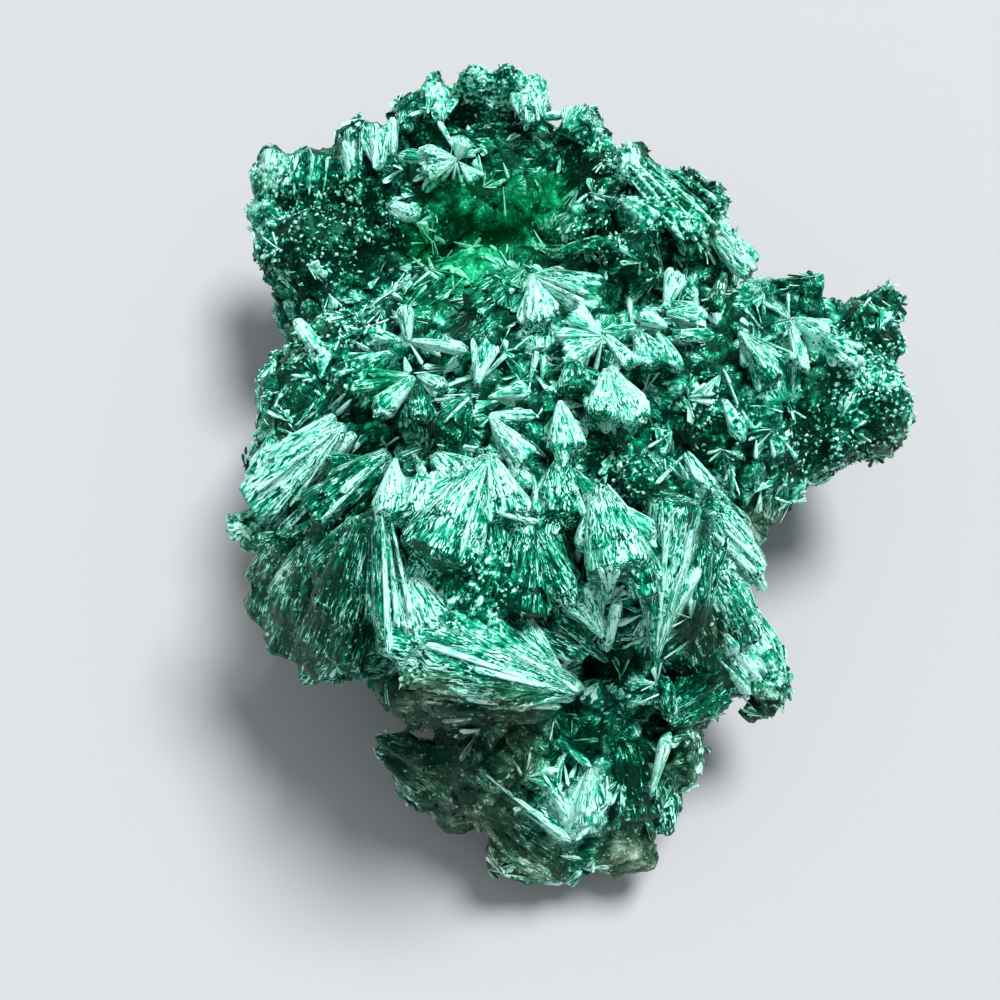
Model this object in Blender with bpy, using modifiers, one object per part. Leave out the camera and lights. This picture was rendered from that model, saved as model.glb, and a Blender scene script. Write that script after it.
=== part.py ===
"""Fibrous malachite: one lump of radiating crystal sheaves, grown together.

Run with: blender --background --python part.py
The specimen rests on the flat face where it broke from its rock. +Z is up, +Y runs from
the low foot to the crown, and the origin is the middle of that flat face.

Each place is read as it looks from above the foot: x and y in millimetres on a level plane
READING_HEIGHT above the table, and then the real height z of the place. The function place()
slides the point along its line of sight to that height.
"""

import math
import random

import bmesh
import bpy
from mathutils import Vector, noise
from mathutils.geometry import intersect_point_line

MM = 0.001

# Where the eye stands, and the level plane on which x and y are read
EYE = Vector((0.0, -54.0, 123.0))
READING_HEIGHT = 20.0

# The sheaves' section and relief
SECTION_SIDES = 8
PLEATED_SIDES = 16
SECTION_RINGS = 4
ON_AXIS = 0.1
PLEATED_FROM_WIDTH = 1.9
PLEAT_DEPTH = 0.16
ROOT_THICKNESS = 0.45
END_BULGE = 0.05

# The lumps' faceting, and the height and width of their unevenness in millimetres
LUMP_SIDES = 20
LUMP_RINGS = 12
UNEVEN_HEIGHT = 1.2
UNEVEN_WIDTH = 5.0

# How far the lumps' skin lies below the surface that the crystals give them
SKIN_DEPTH = 0.6

# Rosettes that cover the lumps where no larger sheaf grows, in millimetres and radians
ROSETTE_SPACING = 6.0
ROSETTE_REACH = (2.6, 4.0)
WIDEST_TURN = 0.95
ROSETTE_PETALS = (5, 7)
ROSETTE_ROOT_RISE = (-0.3, 0.3)
ROSETTE_RIM_RISE = (-0.5, 0.4)
PETAL_UNEVENNESS = 0.2
PETAL_ROOT_WIDTH = 0.3
PETAL_FULLNESS = 0.9
PETAL_THICKNESS = 0.55
LOWEST_ROSETTE = 1.2
CLEAR_OF_SHEAF = 1.0
SEED = 7

# The block below the table that cuts the flat resting face
GROUND_SIZE = 120.0
GROUND_DEPTH = 30.0

# The overlapping pieces are fused on a fine lattice and then simplified to flat facets
LATTICE = 0.35 * MM
FACETS = 9400
SHARP_ANGLE = math.radians(28.0)

MALACHITE_GREEN = (0.015, 0.235, 0.125, 1.0)
MALACHITE_ROUGHNESS = 0.42

# Massive body under the sheaves: centre x, y, z, then the half-lengths along x, y and z.
# These are true places, not read ones.
BODY = [
    (0.5, -1.0, 4.5, 18.0, 21.0, 9.5),
    (1.0, 2.5, 13.5, 19.0, 20.0, 10.8),
    (-1.0, -11.0, 18.0, 13.0, 11.0, 12.5),
    (3.0, -1.8, 18.8, 13.0, 8.0, 9.5),
    (3.0, 5.0, 17.6, 12.0, 7.0, 9.0),
    (13.5, 4.5, 17.0, 7.0, 8.0, 8.8),
    (3.0, 12.0, 15.6, 9.0, 5.0, 9.4),
    (-8.0, 4.5, 16.8, 7.0, 8.0, 8.8),
    (11.0, -11.0, 16.0, 9.0, 9.5, 12.5),
    (1.0, 22.5, 8.0, 9.0, 4.5, 6.5),
    (0.0, 30.0, 11.5, 10.5, 7.5, 9.0),
    (-13.5, 21.0, 10.5, 9.0, 9.5, 7.5),
    (-16.8, 25.2, 11.0, 5.4, 6.2, 7.4),
    (-8.5, 27.0, 11.5, 5.0, 7.5, 9.0),
    (-14.0, 3.0, 13.5, 8.2, 12.0, 10.0),
    (-12.5, -11.0, 14.0, 6.8, 8.5, 11.5),
    (13.5, 21.0, 12.0, 9.0, 9.5, 10.5),
    (9.5, 27.0, 11.5, 5.5, 6.5, 9.5),
    (27.0, 6.5, 14.2, 8.5, 7.6, 7.9),
    (19.5, 5.0, 14.0, 8.5, 11.0, 9.6),
    (23.6, 13.2, 14.5, 6.8, 4.4, 6.4),
    (28.5, 11.5, 14.0, 4.6, 4.6, 6.0),
    (16.5, -14.0, 9.5, 5.4, 8.0, 9.0),
    (1.0, -25.0, 8.0, 7.6, 6.6, 8.0),
    (8.5, -24.0, 7.5, 6.0, 7.5, 8.0),
]

# Granular knobs and lobes: read x, y, height z, then half-lengths
LOBES = [
    (-20.7, -8.6, 21.5, 2.7, 2.3, 2.5),
    (-18.4, -7.0, 20.5, 2.6, 2.2, 3.4),
    (-1.5, -13.8, 29.0, 4.6, 2.6, 2.2),
    (-4.4, -22.4, 20.0, 5.8, 2.4, 6.5),
    (1.6, -22.8, 18.5, 4.0, 2.4, 6.0),
    (3.4, -25.1, 15.5, 1.0, 0.9, 1.1),
    (20.6, -21.2, 10.5, 2.1, 3.4, 4.2),
    (19.4, -23.8, 8.5, 1.5, 1.5, 2.4),
    (18.4, -18.4, 12.5, 3.0, 3.4, 4.0),
    (8.8, -22.6, 13.5, 5.0, 3.0, 6.0),
    (9.5, -34.4, 4.8, 3.1, 2.6, 3.8),
    (6.6, -34.4, 4.8, 2.4, 2.2, 3.2),
    (13.6, -27.0, 10.0, 2.6, 4.0, 4.6),
    (10.6, -29.6, 7.5, 3.6, 4.2, 6.0),
    (9.2, -2.8, 28.6, 1.7, 1.6, 1.6),
    (16.5, 0.8, 25.6, 1.8, 1.9, 1.8),
    (31.6, 9.4, 16.5, 3.4, 4.8, 5.2),
    (31.4, 2.6, 15.5, 3.7, 4.8, 5.6),
    (31.6, -1.4, 12.5, 2.4, 2.2, 3.4),
    (32.8, 12.4, 15.0, 2.6, 2.6, 4.0),
    (27.2, -0.6, 15.0, 3.6, 3.0, 4.8),
    (23.2, -3.4, 15.0, 3.2, 3.4, 5.2),
    (13.4, 20.0, 23.6, 2.0, 1.6, 2.0),
    (16.2, 24.2, 18.8, 2.5, 2.7, 4.6),
    (18.8, 22.0, 18.5, 2.3, 3.3, 5.0),
    (20.2, 17.8, 16.5, 2.1, 3.2, 5.0),
    (12.0, 26.8, 19.0, 2.1, 2.2, 5.0),
    (8.0, 21.6, 21.0, 3.4, 3.0, 3.2),
    (11.4, 17.0, 22.0, 3.6, 2.6, 3.4),
    (-6.0, 35.0, 17.5, 1.8, 2.2, 5.0),
    (-2.6, 35.6, 18.0, 2.9, 2.2, 5.2),
    (1.0, 35.4, 17.5, 2.8, 2.3, 5.4),
    (3.8, 34.2, 17.0, 1.7, 2.6, 5.6),
    (7.6, 30.2, 17.0, 2.6, 3.2, 5.9),
    (-8.8, 31.4, 17.0, 2.0, 2.4, 5.0),
    (-12.6, 29.4, 17.0, 2.6, 3.0, 4.2),
    (-17.2, 27.0, 15.6, 3.4, 2.6, 3.2),
    (-13.0, 25.6, 16.5, 3.4, 3.6, 4.0),
    (-7.4, 32.4, 17.5, 2.2, 2.6, 4.6),
    (-21.0, 26.6, 15.0, 2.2, 3.6, 3.4),
    (-19.4, 25.0, 15.0, 2.0, 2.6, 3.6),
    (-21.2, 22.6, 14.0, 2.4, 3.4, 3.6),
    (-16.0, 19.0, 16.5, 5.5, 4.5, 3.6),
    (-20.0, 18.4, 14.0, 2.0, 4.2, 4.8),
    (-1.6, -29.8, 7.5, 4.4, 3.4, 5.0),
    (-5.4, -28.2, 9.0, 3.8, 2.4, 3.8),
    (-7.2, -26.6, 10.5, 2.2, 1.6, 4.0),
    (-5.4, -30.2, 7.5, 2.8, 2.2, 3.6),
    (-3.0, -31.6, 6.5, 3.0, 2.2, 3.8),
    (4.2, -31.6, 7.0, 4.4, 4.0, 5.4),
    (0.6, -34.0, 5.0, 2.6, 2.5, 3.6),
    (2.6, -35.0, 4.2, 2.8, 2.3, 3.2),
    (4.6, -35.2, 3.6, 2.2, 2.2, 3.0),
]

# Sheaves, from the root to the middle of the rim: read x, y, height z of the root, the same of
# the rim, half-width at the root, half-width at the rim, half-thickness
SHEAVES = [
    # great fans above the ledge
    (-13.2, 0.8, 28.5, -20.0, -6.4, 24.0, 1.2, 2.4, 2.0),
    (-19.0, -0.2, 23.5, -20.4, -5.0, 21.5, 0.5, 1.0, 1.0),
    (-9.2, -1.8, 30.0, -15.4, -7.2, 27.5, 0.8, 2.1, 1.8),
    (-8.7, -2.4, 31.5, -9.0, -7.6, 32.5, 0.3, 1.5, 1.4),
    (-6.2, -3.4, 31.5, -6.6, -9.0, 32.5, 1.1, 1.2, 1.6),
    (-1.5, -3.0, 32.0, -6.8, -8.8, 32.5, 0.5, 1.6, 1.8),
    (-1.0, -2.0, 32.5, -5.2, -11.6, 32.5, 0.6, 3.6, 2.4),
    (-0.9, -2.0, 32.5, 0.6, -8.0, 32.5, 0.6, 2.2, 1.9),
    (2.4, -7.6, 31.0, 0.9, -16.0, 28.5, 0.8, 3.2, 2.4),
    (4.2, -9.0, 30.0, 4.2, -15.0, 27.0, 0.8, 1.8, 2.0),
    (-9.9, -6.6, 31.5, -8.3, -19.2, 27.5, 0.6, 1.5, 2.0),
    (-8.0, -12.0, 30.5, -5.0, -18.4, 28.5, 1.0, 2.6, 1.8),
    (-10.6, -7.6, 30.5, -13.2, -18.6, 20.0, 1.4, 3.2, 2.4),
    (-14.0, -9.0, 26.5, -16.8, -18.2, 14.5, 1.7, 2.2, 2.2),
    (-17.4, -9.8, 23.5, -18.8, -15.4, 14.5, 1.2, 1.9, 2.0),
    (-12.0, -17.0, 21.0, -14.7, -20.8, 12.5, 1.5, 1.4, 1.6),
    (5.0, -2.4, 29.0, 5.0, -8.0, 30.0, 0.8, 2.3, 1.8),
    (8.2, -4.6, 31.0, 9.7, -12.6, 31.0, 0.9, 2.9, 2.2),
    (10.2, -8.0, 31.0, 11.9, -14.6, 29.5, 0.8, 1.4, 1.6),
    (12.0, -19.6, 22.5, 14.4, -5.8, 30.5, 0.5, 2.4, 2.2),
    (15.5, -17.0, 22.0, 16.2, -8.0, 28.0, 0.8, 1.2, 1.6),
    # the ledge, closing to the right
    (6.2, -22.2, 26.5, -5.4, -18.2, 28.5, 0.4, 3.4, 1.8),
    (5.6, -22.8, 26.0, -7.6, -20.6, 27.0, 0.4, 1.6, 1.6),
    (4.6, -23.4, 25.5, -3.0, -22.4, 26.0, 0.3, 0.7, 1.0),
    # right shell and flank
    (17.2, -6.0, 27.5, 20.0, -12.2, 22.0, 1.0, 2.0, 2.0),
    (18.6, -6.8, 25.5, 20.8, -13.4, 18.5, 0.5, 0.9, 1.6),
    (17.0, -12.0, 24.5, 19.3, -17.4, 17.0, 1.8, 1.9, 2.0),
    (15.0, -14.6, 22.0, 15.7, -19.4, 17.0, 1.6, 1.8, 1.8),
    (17.0, -16.6, 19.0, 18.2, -19.2, 16.0, 0.9, 1.2, 1.2),
    (18.0, -18.8, 16.0, 18.9, -22.6, 12.0, 0.9, 0.7, 1.0),
    (19.0, -15.5, 16.0, 21.0, -19.8, 13.0, 1.0, 1.2, 1.5),
    # blades that meet in the notch
    (8.3, -19.8, 21.5, 4.0, -15.8, 25.5, 0.3, 0.9, 0.9),
    (8.0, -17.8, 25.0, 6.0, -13.6, 28.5, 0.3, 1.4, 1.0),
    (8.3, -19.0, 23.0, 9.3, -14.8, 28.0, 0.5, 0.4, 0.6),
    (8.4, -15.0, 26.0, 8.7, -12.0, 29.5, 0.3, 0.8, 0.7),
    (6.0, -22.3, 24.0, 1.0, -18.6, 27.5, 0.3, 0.5, 0.6),
    (3.0, -17.6, 26.0, 6.5, -19.6, 22.5, 0.7, 0.9, 0.8),
    # foot
    (-4.5, -27.6, 12.5, -9.4, -25.8, 13.0, 1.6, 0.5, 0.9),
    (-4.6, -30.4, 9.5, -9.5, -26.7, 11.0, 1.3, 0.4, 0.9),
    (-1.2, -28.6, 13.5, 5.6, -33.6, 9.5, 0.5, 0.8, 1.0),
    (-0.6, -31.2, 10.5, 4.6, -35.2, 6.5, 0.9, 1.1, 1.2),
    (-0.2, -33.6, 7.5, 4.4, -36.0, 4.8, 1.0, 1.2, 1.4),
    (6.8, -28.2, 14.0, 6.4, -32.4, 11.0, 0.3, 1.5, 1.2),
    (7.9, -28.8, 13.5, 7.0, -33.0, 9.5, 0.3, 0.7, 0.9),
    (3.2, -28.2, 14.0, 4.9, -31.8, 11.5, 0.4, 0.5, 0.7),
    (9.6, -26.0, 15.0, 10.2, -31.8, 9.5, 1.2, 1.2, 1.4),
    (12.7, -25.8, 15.5, 11.2, -30.1, 12.5, 0.8, 0.5, 0.7),
    (13.0, -24.6, 15.0, 12.8, -21.2, 17.5, 0.7, 0.6, 0.7),
    (13.0, -25.0, 14.5, 17.4, -22.6, 13.5, 0.4, 1.4, 1.4),
    (12.6, -24.0, 15.0, 17.0, -20.2, 16.0, 0.5, 1.5, 1.5),
    (13.6, -25.4, 13.0, 14.3, -28.8, 8.5, 0.9, 0.9, 1.4),
    (12.2, -29.4, 10.0, 12.4, -32.8, 6.5, 1.2, 1.0, 1.6),
    # rosettes of the middle
    (-7.9, 9.2, 25.5, -8.4, 13.1, 26.5, 0.3, 0.9, 0.7),
    (-7.6, 9.2, 25.5, -2.7, 8.3, 26.5, 0.3, 0.7, 0.6),
    (-8.6, 9.2, 25.5, -11.4, 10.2, 26.0, 0.3, 0.6, 0.6),
    (-9.4, 8.0, 25.5, -14.0, 4.6, 25.5, 0.4, 1.9, 1.2),
    (-7.3, 5.6, 26.5, -10.8, 1.6, 27.0, 0.4, 1.4, 1.0),
    (-7.0, 5.8, 26.5, -4.6, 4.6, 27.5, 0.3, 0.8, 0.6),
    (-7.0, 5.2, 26.5, -6.8, 1.4, 27.5, 0.3, 1.2, 0.9),
    (-2.6, 3.6, 28.0, -4.8, -0.4, 29.0, 0.5, 2.0, 1.2),
    (-1.9, 5.0, 27.5, -0.9, 9.2, 28.0, 0.3, 0.9, 0.5),
    (2.9, 15.9, 25.0, 3.5, 11.0, 27.0, 0.3, 1.6, 1.0),
    (3.0, 15.7, 25.0, 8.6, 12.2, 27.0, 0.3, 1.5, 1.0),
    (4.2, 16.2, 24.5, 9.0, 14.2, 26.5, 0.4, 1.5, 1.2),
    (2.2, 16.6, 24.5, -2.6, 12.2, 24.5, 0.4, 2.3, 1.2),
    (8.8, 9.9, 26.5, 5.9, 12.0, 27.5, 0.3, 1.1, 0.7),
    (8.8, 9.8, 26.5, 4.7, 9.7, 27.5, 0.3, 0.8, 0.7),
    (8.8, 9.6, 26.5, 5.8, 7.0, 28.0, 0.3, 1.1, 0.8),
    (9.2, 9.8, 26.5, 11.2, 6.8, 28.0, 0.3, 0.9, 0.8),
    (11.8, 10.2, 26.5, 13.2, 6.6, 28.0, 0.5, 1.1, 0.9),
    (13.6, 10.0, 26.5, 15.2, 6.4, 27.5, 0.4, 0.9, 0.8),
    (14.5, 12.8, 26.0, 15.9, 16.6, 26.5, 0.3, 1.3, 0.7),
    (14.5, 12.0, 26.0, 18.2, 11.6, 26.0, 0.3, 1.1, 0.8),
    (14.5, 10.6, 26.5, 12.0, 12.0, 27.0, 0.3, 1.0, 0.8),
    (15.0, 9.8, 26.5, 18.6, 9.8, 26.0, 0.5, 0.6, 0.7),
    (19.9, 16.2, 24.0, 18.7, 12.6, 25.0, 0.4, 0.8, 0.8),
    (5.1, 3.2, 28.5, 5.6, -1.4, 29.5, 0.3, 1.9, 1.1),
    (9.4, 6.6, 28.0, 11.5, 1.0, 29.5, 0.4, 1.7, 1.1),
    (9.0, 6.3, 28.0, 8.4, 1.8, 29.5, 0.3, 1.4, 1.0),
    (-0.9, 1.8, 29.0, 2.3, -2.4, 30.0, 0.3, 1.1, 0.8),
    (-0.9, 1.9, 29.0, 3.1, 1.9, 29.5, 0.3, 0.5, 0.5),
    (-1.0, 3.6, 28.5, 2.6, 4.6, 29.0, 0.4, 0.8, 0.6),
    (-5.6, -1.8, 30.0, -3.6, -4.0, 31.5, 0.5, 1.2, 0.8),
    (6.2, 7.4, 27.5, 6.4, 4.2, 29.0, 0.5, 1.7, 0.9),
    (11.0, -2.0, 28.5, 12.0, -6.0, 29.5, 1.0, 1.6, 1.2),
    (15.4, -1.6, 28.0, 17.4, -5.2, 27.5, 0.4, 0.8, 0.8),
    (19.0, 3.4, 25.0, 20.3, -0.6, 24.5, 0.8, 0.9, 1.0),
    # arm
    (25.3, 11.4, 22.5, 28.6, 9.8, 23.0, 0.3, 1.2, 0.9),
    (25.2, 11.2, 22.5, 26.0, 6.2, 23.0, 0.3, 0.8, 0.8),
    (20.7, 10.1, 24.5, 23.6, 5.2, 24.0, 0.3, 1.4, 1.0),
    (27.6, 10.0, 22.5, 31.2, 6.8, 22.5, 0.4, 1.5, 1.0),
    (20.8, 15.0, 20.5, 28.4, 14.9, 19.5, 0.8, 1.2, 1.4),
    (22.5, -5.0, 15.0, 21.8, -8.2, 12.5, 1.0, 0.8, 1.3),
    # right of the crown
    (11.5, 28.4, 23.0, 17.6, 19.6, 25.0, 0.6, 1.2, 1.2),
    (13.2, 28.8, 22.5, 19.0, 20.4, 24.0, 0.5, 1.0, 1.2),
    (12.2, 26.4, 23.0, 11.8, 29.3, 22.5, 0.9, 1.0, 1.1),
    (11.0, 24.4, 24.0, 14.2, 21.4, 25.5, 0.8, 1.2, 0.9),
    (20.2, 20.8, 20.5, 22.8, 16.4, 19.5, 0.8, 0.6, 1.0),
    (5.4, 18.6, 23.5, 9.6, 19.6, 24.5, 0.4, 0.8, 0.8),
    # crown and the star below it
    (-6.2, 33.0, 21.5, -6.5, 37.6, 20.5, 0.9, 1.1, 1.5),
    (2.8, 32.8, 22.5, 3.4, 37.6, 20.5, 1.4, 1.5, 1.6),
    (-4.1, 28.7, 21.5, -7.3, 28.4, 23.0, 0.3, 2.2, 0.9),
    (-3.9, 28.9, 21.5, -3.3, 31.3, 23.0, 0.3, 1.2, 0.6),
    (-3.6, 28.3, 21.5, -2.3, 26.3, 22.5, 0.2, 0.8, 0.5),
    # upper left
    (-21.1, 24.2, 16.0, -20.9, 29.9, 18.5, 1.2, 1.4, 1.6),
    (-17.4, 24.4, 17.5, -17.2, 29.0, 18.5, 2.0, 2.2, 1.8),
    (-13.8, 27.0, 19.0, -14.0, 30.6, 20.0, 1.0, 0.5, 0.9),
    (-12.8, 27.6, 19.5, -12.9, 32.6, 20.5, 0.6, 0.3, 0.8),
    (-11.2, 27.6, 20.5, -11.6, 32.8, 21.5, 1.1, 0.4, 0.8),
    (-9.9, 29.2, 21.0, -10.2, 33.6, 21.5, 0.6, 0.6, 0.9),
    (-8.8, 32.6, 20.5, -8.6, 34.8, 20.0, 0.8, 0.8, 1.1),
    (-10.2, 23.6, 20.5, -7.8, 22.4, 22.0, 0.6, 0.9, 0.9),
    (-17.8, 11.4, 22.0, -15.6, 8.2, 22.5, 0.6, 0.7, 0.8),
]

# Large fans of the hidden sides and back, from the root inside to the rim out on the wall:
# true x, y, z of the root, the same of the rim, then widths and thickness as above
WALL_FANS = [
    (-5.0, 30.0, 14.0, -7.5, 36.5, 10.5, 1.2, 3.0, 2.4),
    (1.0, 30.0, 13.0, 1.5, 37.5, 8.5, 1.2, 3.2, 2.4),
    (6.0, 29.0, 13.0, 9.0, 33.5, 8.0, 1.2, 3.0, 2.4),
    (13.0, 23.0, 13.0, 17.5, 28.0, 9.0, 1.2, 3.0, 2.4),
    (17.0, 18.0, 13.0, 22.0, 20.0, 9.5, 1.2, 2.8, 2.4),
    (18.0, 11.0, 11.0, 24.0, 13.5, 7.0, 1.2, 2.6, 2.2),
    (26.0, 6.0, 13.0, 31.5, 10.0, 9.5, 1.2, 2.8, 2.2),
    (18.0, -2.0, 12.0, 23.0, -3.0, 6.5, 1.2, 2.8, 2.4),
    (14.0, -8.0, 11.0, 19.5, -9.5, 6.0, 1.2, 2.8, 2.4),
    (9.0, -17.0, 10.0, 14.0, -21.5, 3.5, 1.2, 2.6, 2.4),
    (-10.0, 25.0, 12.0, -14.0, 30.0, 8.5, 1.2, 3.0, 2.4),
    (-15.0, 19.0, 11.0, -20.5, 23.0, 7.5, 1.2, 3.0, 2.4),
    (-14.0, 9.0, 12.0, -20.8, 11.0, 8.5, 1.2, 3.0, 2.4),
    (-13.0, 2.0, 13.0, -21.0, 2.5, 9.0, 1.2, 3.2, 2.6),
    (-11.0, -8.0, 12.0, -15.8, -9.2, 6.5, 1.2, 2.6, 2.4),
    (-8.0, -14.0, 10.0, -10.2, -17.0, 5.0, 1.2, 2.4, 2.2),
    (-5.0, 24.0, 7.0, -10.0, 27.0, 3.0, 1.2, 3.0, 2.2),
    (3.0, 24.0, 7.0, 4.0, 31.0, 3.0, 1.2, 3.2, 2.2),
    (12.0, 16.0, 7.0, 16.5, 20.5, 3.5, 1.2, 3.0, 2.2),
]


def clear_scene():
    """Remove whatever the file holds."""
    for thing in list(bpy.data.objects):
        bpy.data.objects.remove(thing, do_unlink=True)


def add_collection(name):
    """A new collection in the scene."""
    collection = bpy.data.collections.new(name)
    bpy.context.scene.collection.children.link(collection)
    return collection


def place(x, y, z):
    """The point of height z that is seen at x, y on the reading plane."""
    reach = (EYE.z - z) / (EYE.z - READING_HEIGHT)
    return EYE + (Vector((x, y, READING_HEIGHT)) - EYE) * reach


def add_solid(name, bm, collection):
    """Turn a bmesh, made in millimetres, into an object in metres."""
    bmesh.ops.recalc_face_normals(bm, faces=bm.faces)
    bmesh.ops.scale(bm, vec=Vector((MM, MM, MM)), verts=bm.verts)
    mesh = bpy.data.meshes.new(name)
    bm.to_mesh(mesh)
    bm.free()
    solid = bpy.data.objects.new(name, mesh)
    collection.objects.link(solid)
    return solid


def skin_point(lump, way):
    """Where a lump's uneven skin lies in one direction from its middle."""
    centre, radii = lump
    level = centre + Vector([way[axis] * (radii[axis] - SKIN_DEPTH) for axis in range(3)])
    return level + way.normalized() * noise.noise(level / UNEVEN_WIDTH) * UNEVEN_HEIGHT


def add_lump(name, lump, collection):
    """A sphere drawn out to a lump's half-lengths, with its skin made uneven."""
    bm = bmesh.new()
    bmesh.ops.create_uvsphere(bm, u_segments=LUMP_SIDES, v_segments=LUMP_RINGS, radius=1.0)
    for vert in bm.verts:
        vert.co = skin_point(lump, vert.co)
    return add_solid(name, bm, collection)


def add_sheaf(name, root, rim, facing, widths, thickness, collection):
    """A fan of fibres from a narrow root to a rim that is an arc about the root.

    A sphere's rings become sections: across the fan a point turns by its share of the opening
    angle, and through the fan it has an elliptic thickness. Wide fans have a pleated face.
    """
    root_width, rim_width = widths
    axis = rim - root
    length = axis.length
    axis.normalize()
    across = facing.cross(axis).normalized()
    outward = axis.cross(across)
    opening = math.atan2(rim_width - root_width, length)
    pleated = rim_width >= PLEATED_FROM_WIDTH
    sides = PLEATED_SIDES if pleated else SECTION_SIDES
    end_ring = math.cos(math.pi / SECTION_RINGS)

    bm = bmesh.new()
    bmesh.ops.create_uvsphere(bm, u_segments=sides, v_segments=SECTION_RINGS, radius=1.0)
    for vert in bm.verts:
        x, y, z = vert.co
        along = min(max((z / end_ring + 1) / 2, -END_BULGE), 1 + END_BULGE)
        ring = math.hypot(x, y)
        on_axis = ring < ON_AXIS
        share = 0.0 if on_axis else x / ring
        depth = 0.0 if on_axis else y / ring
        if pleated:
            turn = round(math.atan2(y, x) / (2 * math.pi) * sides)
            depth *= 1 + PLEAT_DEPTH * (1 if turn % 2 else -1)
        angle = opening * share
        swell = ROOT_THICKNESS + (1 - ROOT_THICKNESS) * min(max(along, 0.0), 1.0)
        vert.co = (root + axis * (along * length * math.cos(angle))
                   + across * (root_width * share + along * length * math.sin(angle))
                   + outward * (thickness * swell * depth))
    return add_solid(name, bm, collection)


def inside(lump, point):
    """Whether a point lies within a lump's level surface."""
    centre, radii = lump
    return sum(((point[axis] - centre[axis]) / radii[axis]) ** 2 for axis in range(3)) < 1.0


def near_sheaf(point, sheaves):
    """Whether a point lies beside one of the larger sheaves."""
    for root, rim, half_width in sheaves:
        nearest, share = intersect_point_line(point, root, rim)
        nearest = root.lerp(rim, min(max(share, 0.0), 1.0))
        if (point - nearest).length < half_width + CLEAR_OF_SHEAF:
            return True
    return False


def add_rosette(name, lump, way, chance, collection):
    """A few small sheaves that open round a common root and follow the lump's skin."""
    centre, radii = lump
    mean_radius = (radii[0] * radii[1] * radii[2]) ** (1 / 3)
    petals = chance.randint(*ROSETTE_PETALS)
    first_turn = chance.uniform(0, 2 * math.pi)
    normal = Vector([way[axis] / radii[axis] for axis in range(3)]).normalized()
    side = way.orthogonal().normalized()
    other_side = way.cross(side)
    root = skin_point(lump, way) + normal * chance.uniform(*ROSETTE_ROOT_RISE)
    for petal in range(petals):
        shift = chance.uniform(-PETAL_UNEVENNESS, PETAL_UNEVENNESS)
        turn = first_turn + 2 * math.pi * (petal + shift) / petals
        reach = chance.uniform(*ROSETTE_REACH)
        bend = min(reach / mean_radius, WIDEST_TURN)
        sideways = side * math.cos(turn) + other_side * math.sin(turn)
        rim_way = way * math.cos(bend) + sideways * math.sin(bend)
        rim = skin_point(lump, rim_way) + normal * chance.uniform(*ROSETTE_RIM_RISE)
        half_width = (rim - root).length * math.sin(math.pi / petals) * PETAL_FULLNESS
        add_sheaf(f"{name}_{petal}", root, rim, normal, (PETAL_ROOT_WIDTH, half_width),
                  PETAL_THICKNESS, collection)


def add_crust(lumps, sheaves, collection):
    """Rosettes over every lump, on a spiral of even spacing, where nothing else covers it."""
    chance = random.Random(SEED)
    golden_turn = math.pi * (3 - math.sqrt(5))
    for number, lump in enumerate(lumps):
        centre, radii = lump
        mean_radius = (radii[0] * radii[1] * radii[2]) ** (1 / 3)
        count = round(4 * math.pi * mean_radius ** 2 / ROSETTE_SPACING ** 2)
        for step in range(count):
            height = 1 - (2 * step + 1) / count
            ring = math.sqrt(1 - height ** 2)
            turn = golden_turn * step
            way = Vector((ring * math.cos(turn), ring * math.sin(turn), height))
            seat = skin_point(lump, way)
            covered = any(inside(other, seat) for other in lumps if other is not lump)
            if covered or seat.z < LOWEST_ROSETTE or near_sheaf(seat, sheaves):
                continue
            add_rosette(f"rosette_{number}_{step}", lump, way, chance, collection)


def add_growth(growth):
    """Every lump, lobe, sheaf and rosette, each as a solid of its own, ready to be fused."""
    lumps = [(Vector((x, y, z)), radii) for x, y, z, *radii in BODY]
    lumps += [(place(x, y, z), radii) for x, y, z, *radii in LOBES]
    for number, lump in enumerate(lumps):
        add_lump(f"lump_{number}", lump, growth)
    sheaves = []
    for number, row in enumerate(SHEAVES):
        root, rim = place(*row[0:3]), place(*row[3:6])
        add_sheaf(f"sheaf_{number}", root, rim, EYE - (root + rim) / 2, row[6:8], row[8], growth)
        sheaves.append((root, rim, row[7]))
    for number, row in enumerate(WALL_FANS):
        root, rim = Vector(row[0:3]), Vector(row[3:6])
        outward = Vector((rim.x, rim.y, 0))
        add_sheaf(f"wall_fan_{number}", root, rim, outward, row[6:8], row[8], growth)
    add_crust(lumps, sheaves, growth)


def add_ground(cutters):
    """The block whose top is the plane of the flat resting face."""
    bm = bmesh.new()
    bmesh.ops.create_cube(bm, size=1.0)
    bmesh.ops.scale(bm, vec=Vector((GROUND_SIZE, GROUND_SIZE, GROUND_DEPTH)), verts=bm.verts)
    bmesh.ops.translate(bm, vec=Vector((0, 0, -GROUND_DEPTH / 2)), verts=bm.verts)
    ground = add_solid("ground", bm, cutters)
    ground.hide_render = True
    ground.display_type = "WIRE"
    return ground


def evaluated_mesh(thing):
    """A copy of an object's mesh with its modifiers applied."""
    graph = bpy.context.evaluated_depsgraph_get()
    return bpy.data.meshes.new_from_object(thing.evaluated_get(graph))


def fuse(growth, name, collection):
    """Fuse overlapping solids: one skin on a fine lattice, then a limited number of facets."""
    bm = bmesh.new()
    for thing in growth.objects:
        bm.from_mesh(thing.data)
    mesh = bpy.data.meshes.new(name)
    bm.to_mesh(mesh)
    bm.free()
    fused = bpy.data.objects.new(name, mesh)
    collection.objects.link(fused)
    lattice = fused.modifiers.new("Lattice", "REMESH")
    lattice.mode = "VOXEL"
    lattice.voxel_size = LATTICE
    skin = evaluated_mesh(fused)
    skin.calc_loop_triangles()
    simple = fused.modifiers.new("Facets", "DECIMATE")
    simple.ratio = FACETS / len(skin.loop_triangles)
    simple.use_collapse_triangulate = True
    return fused


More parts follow.
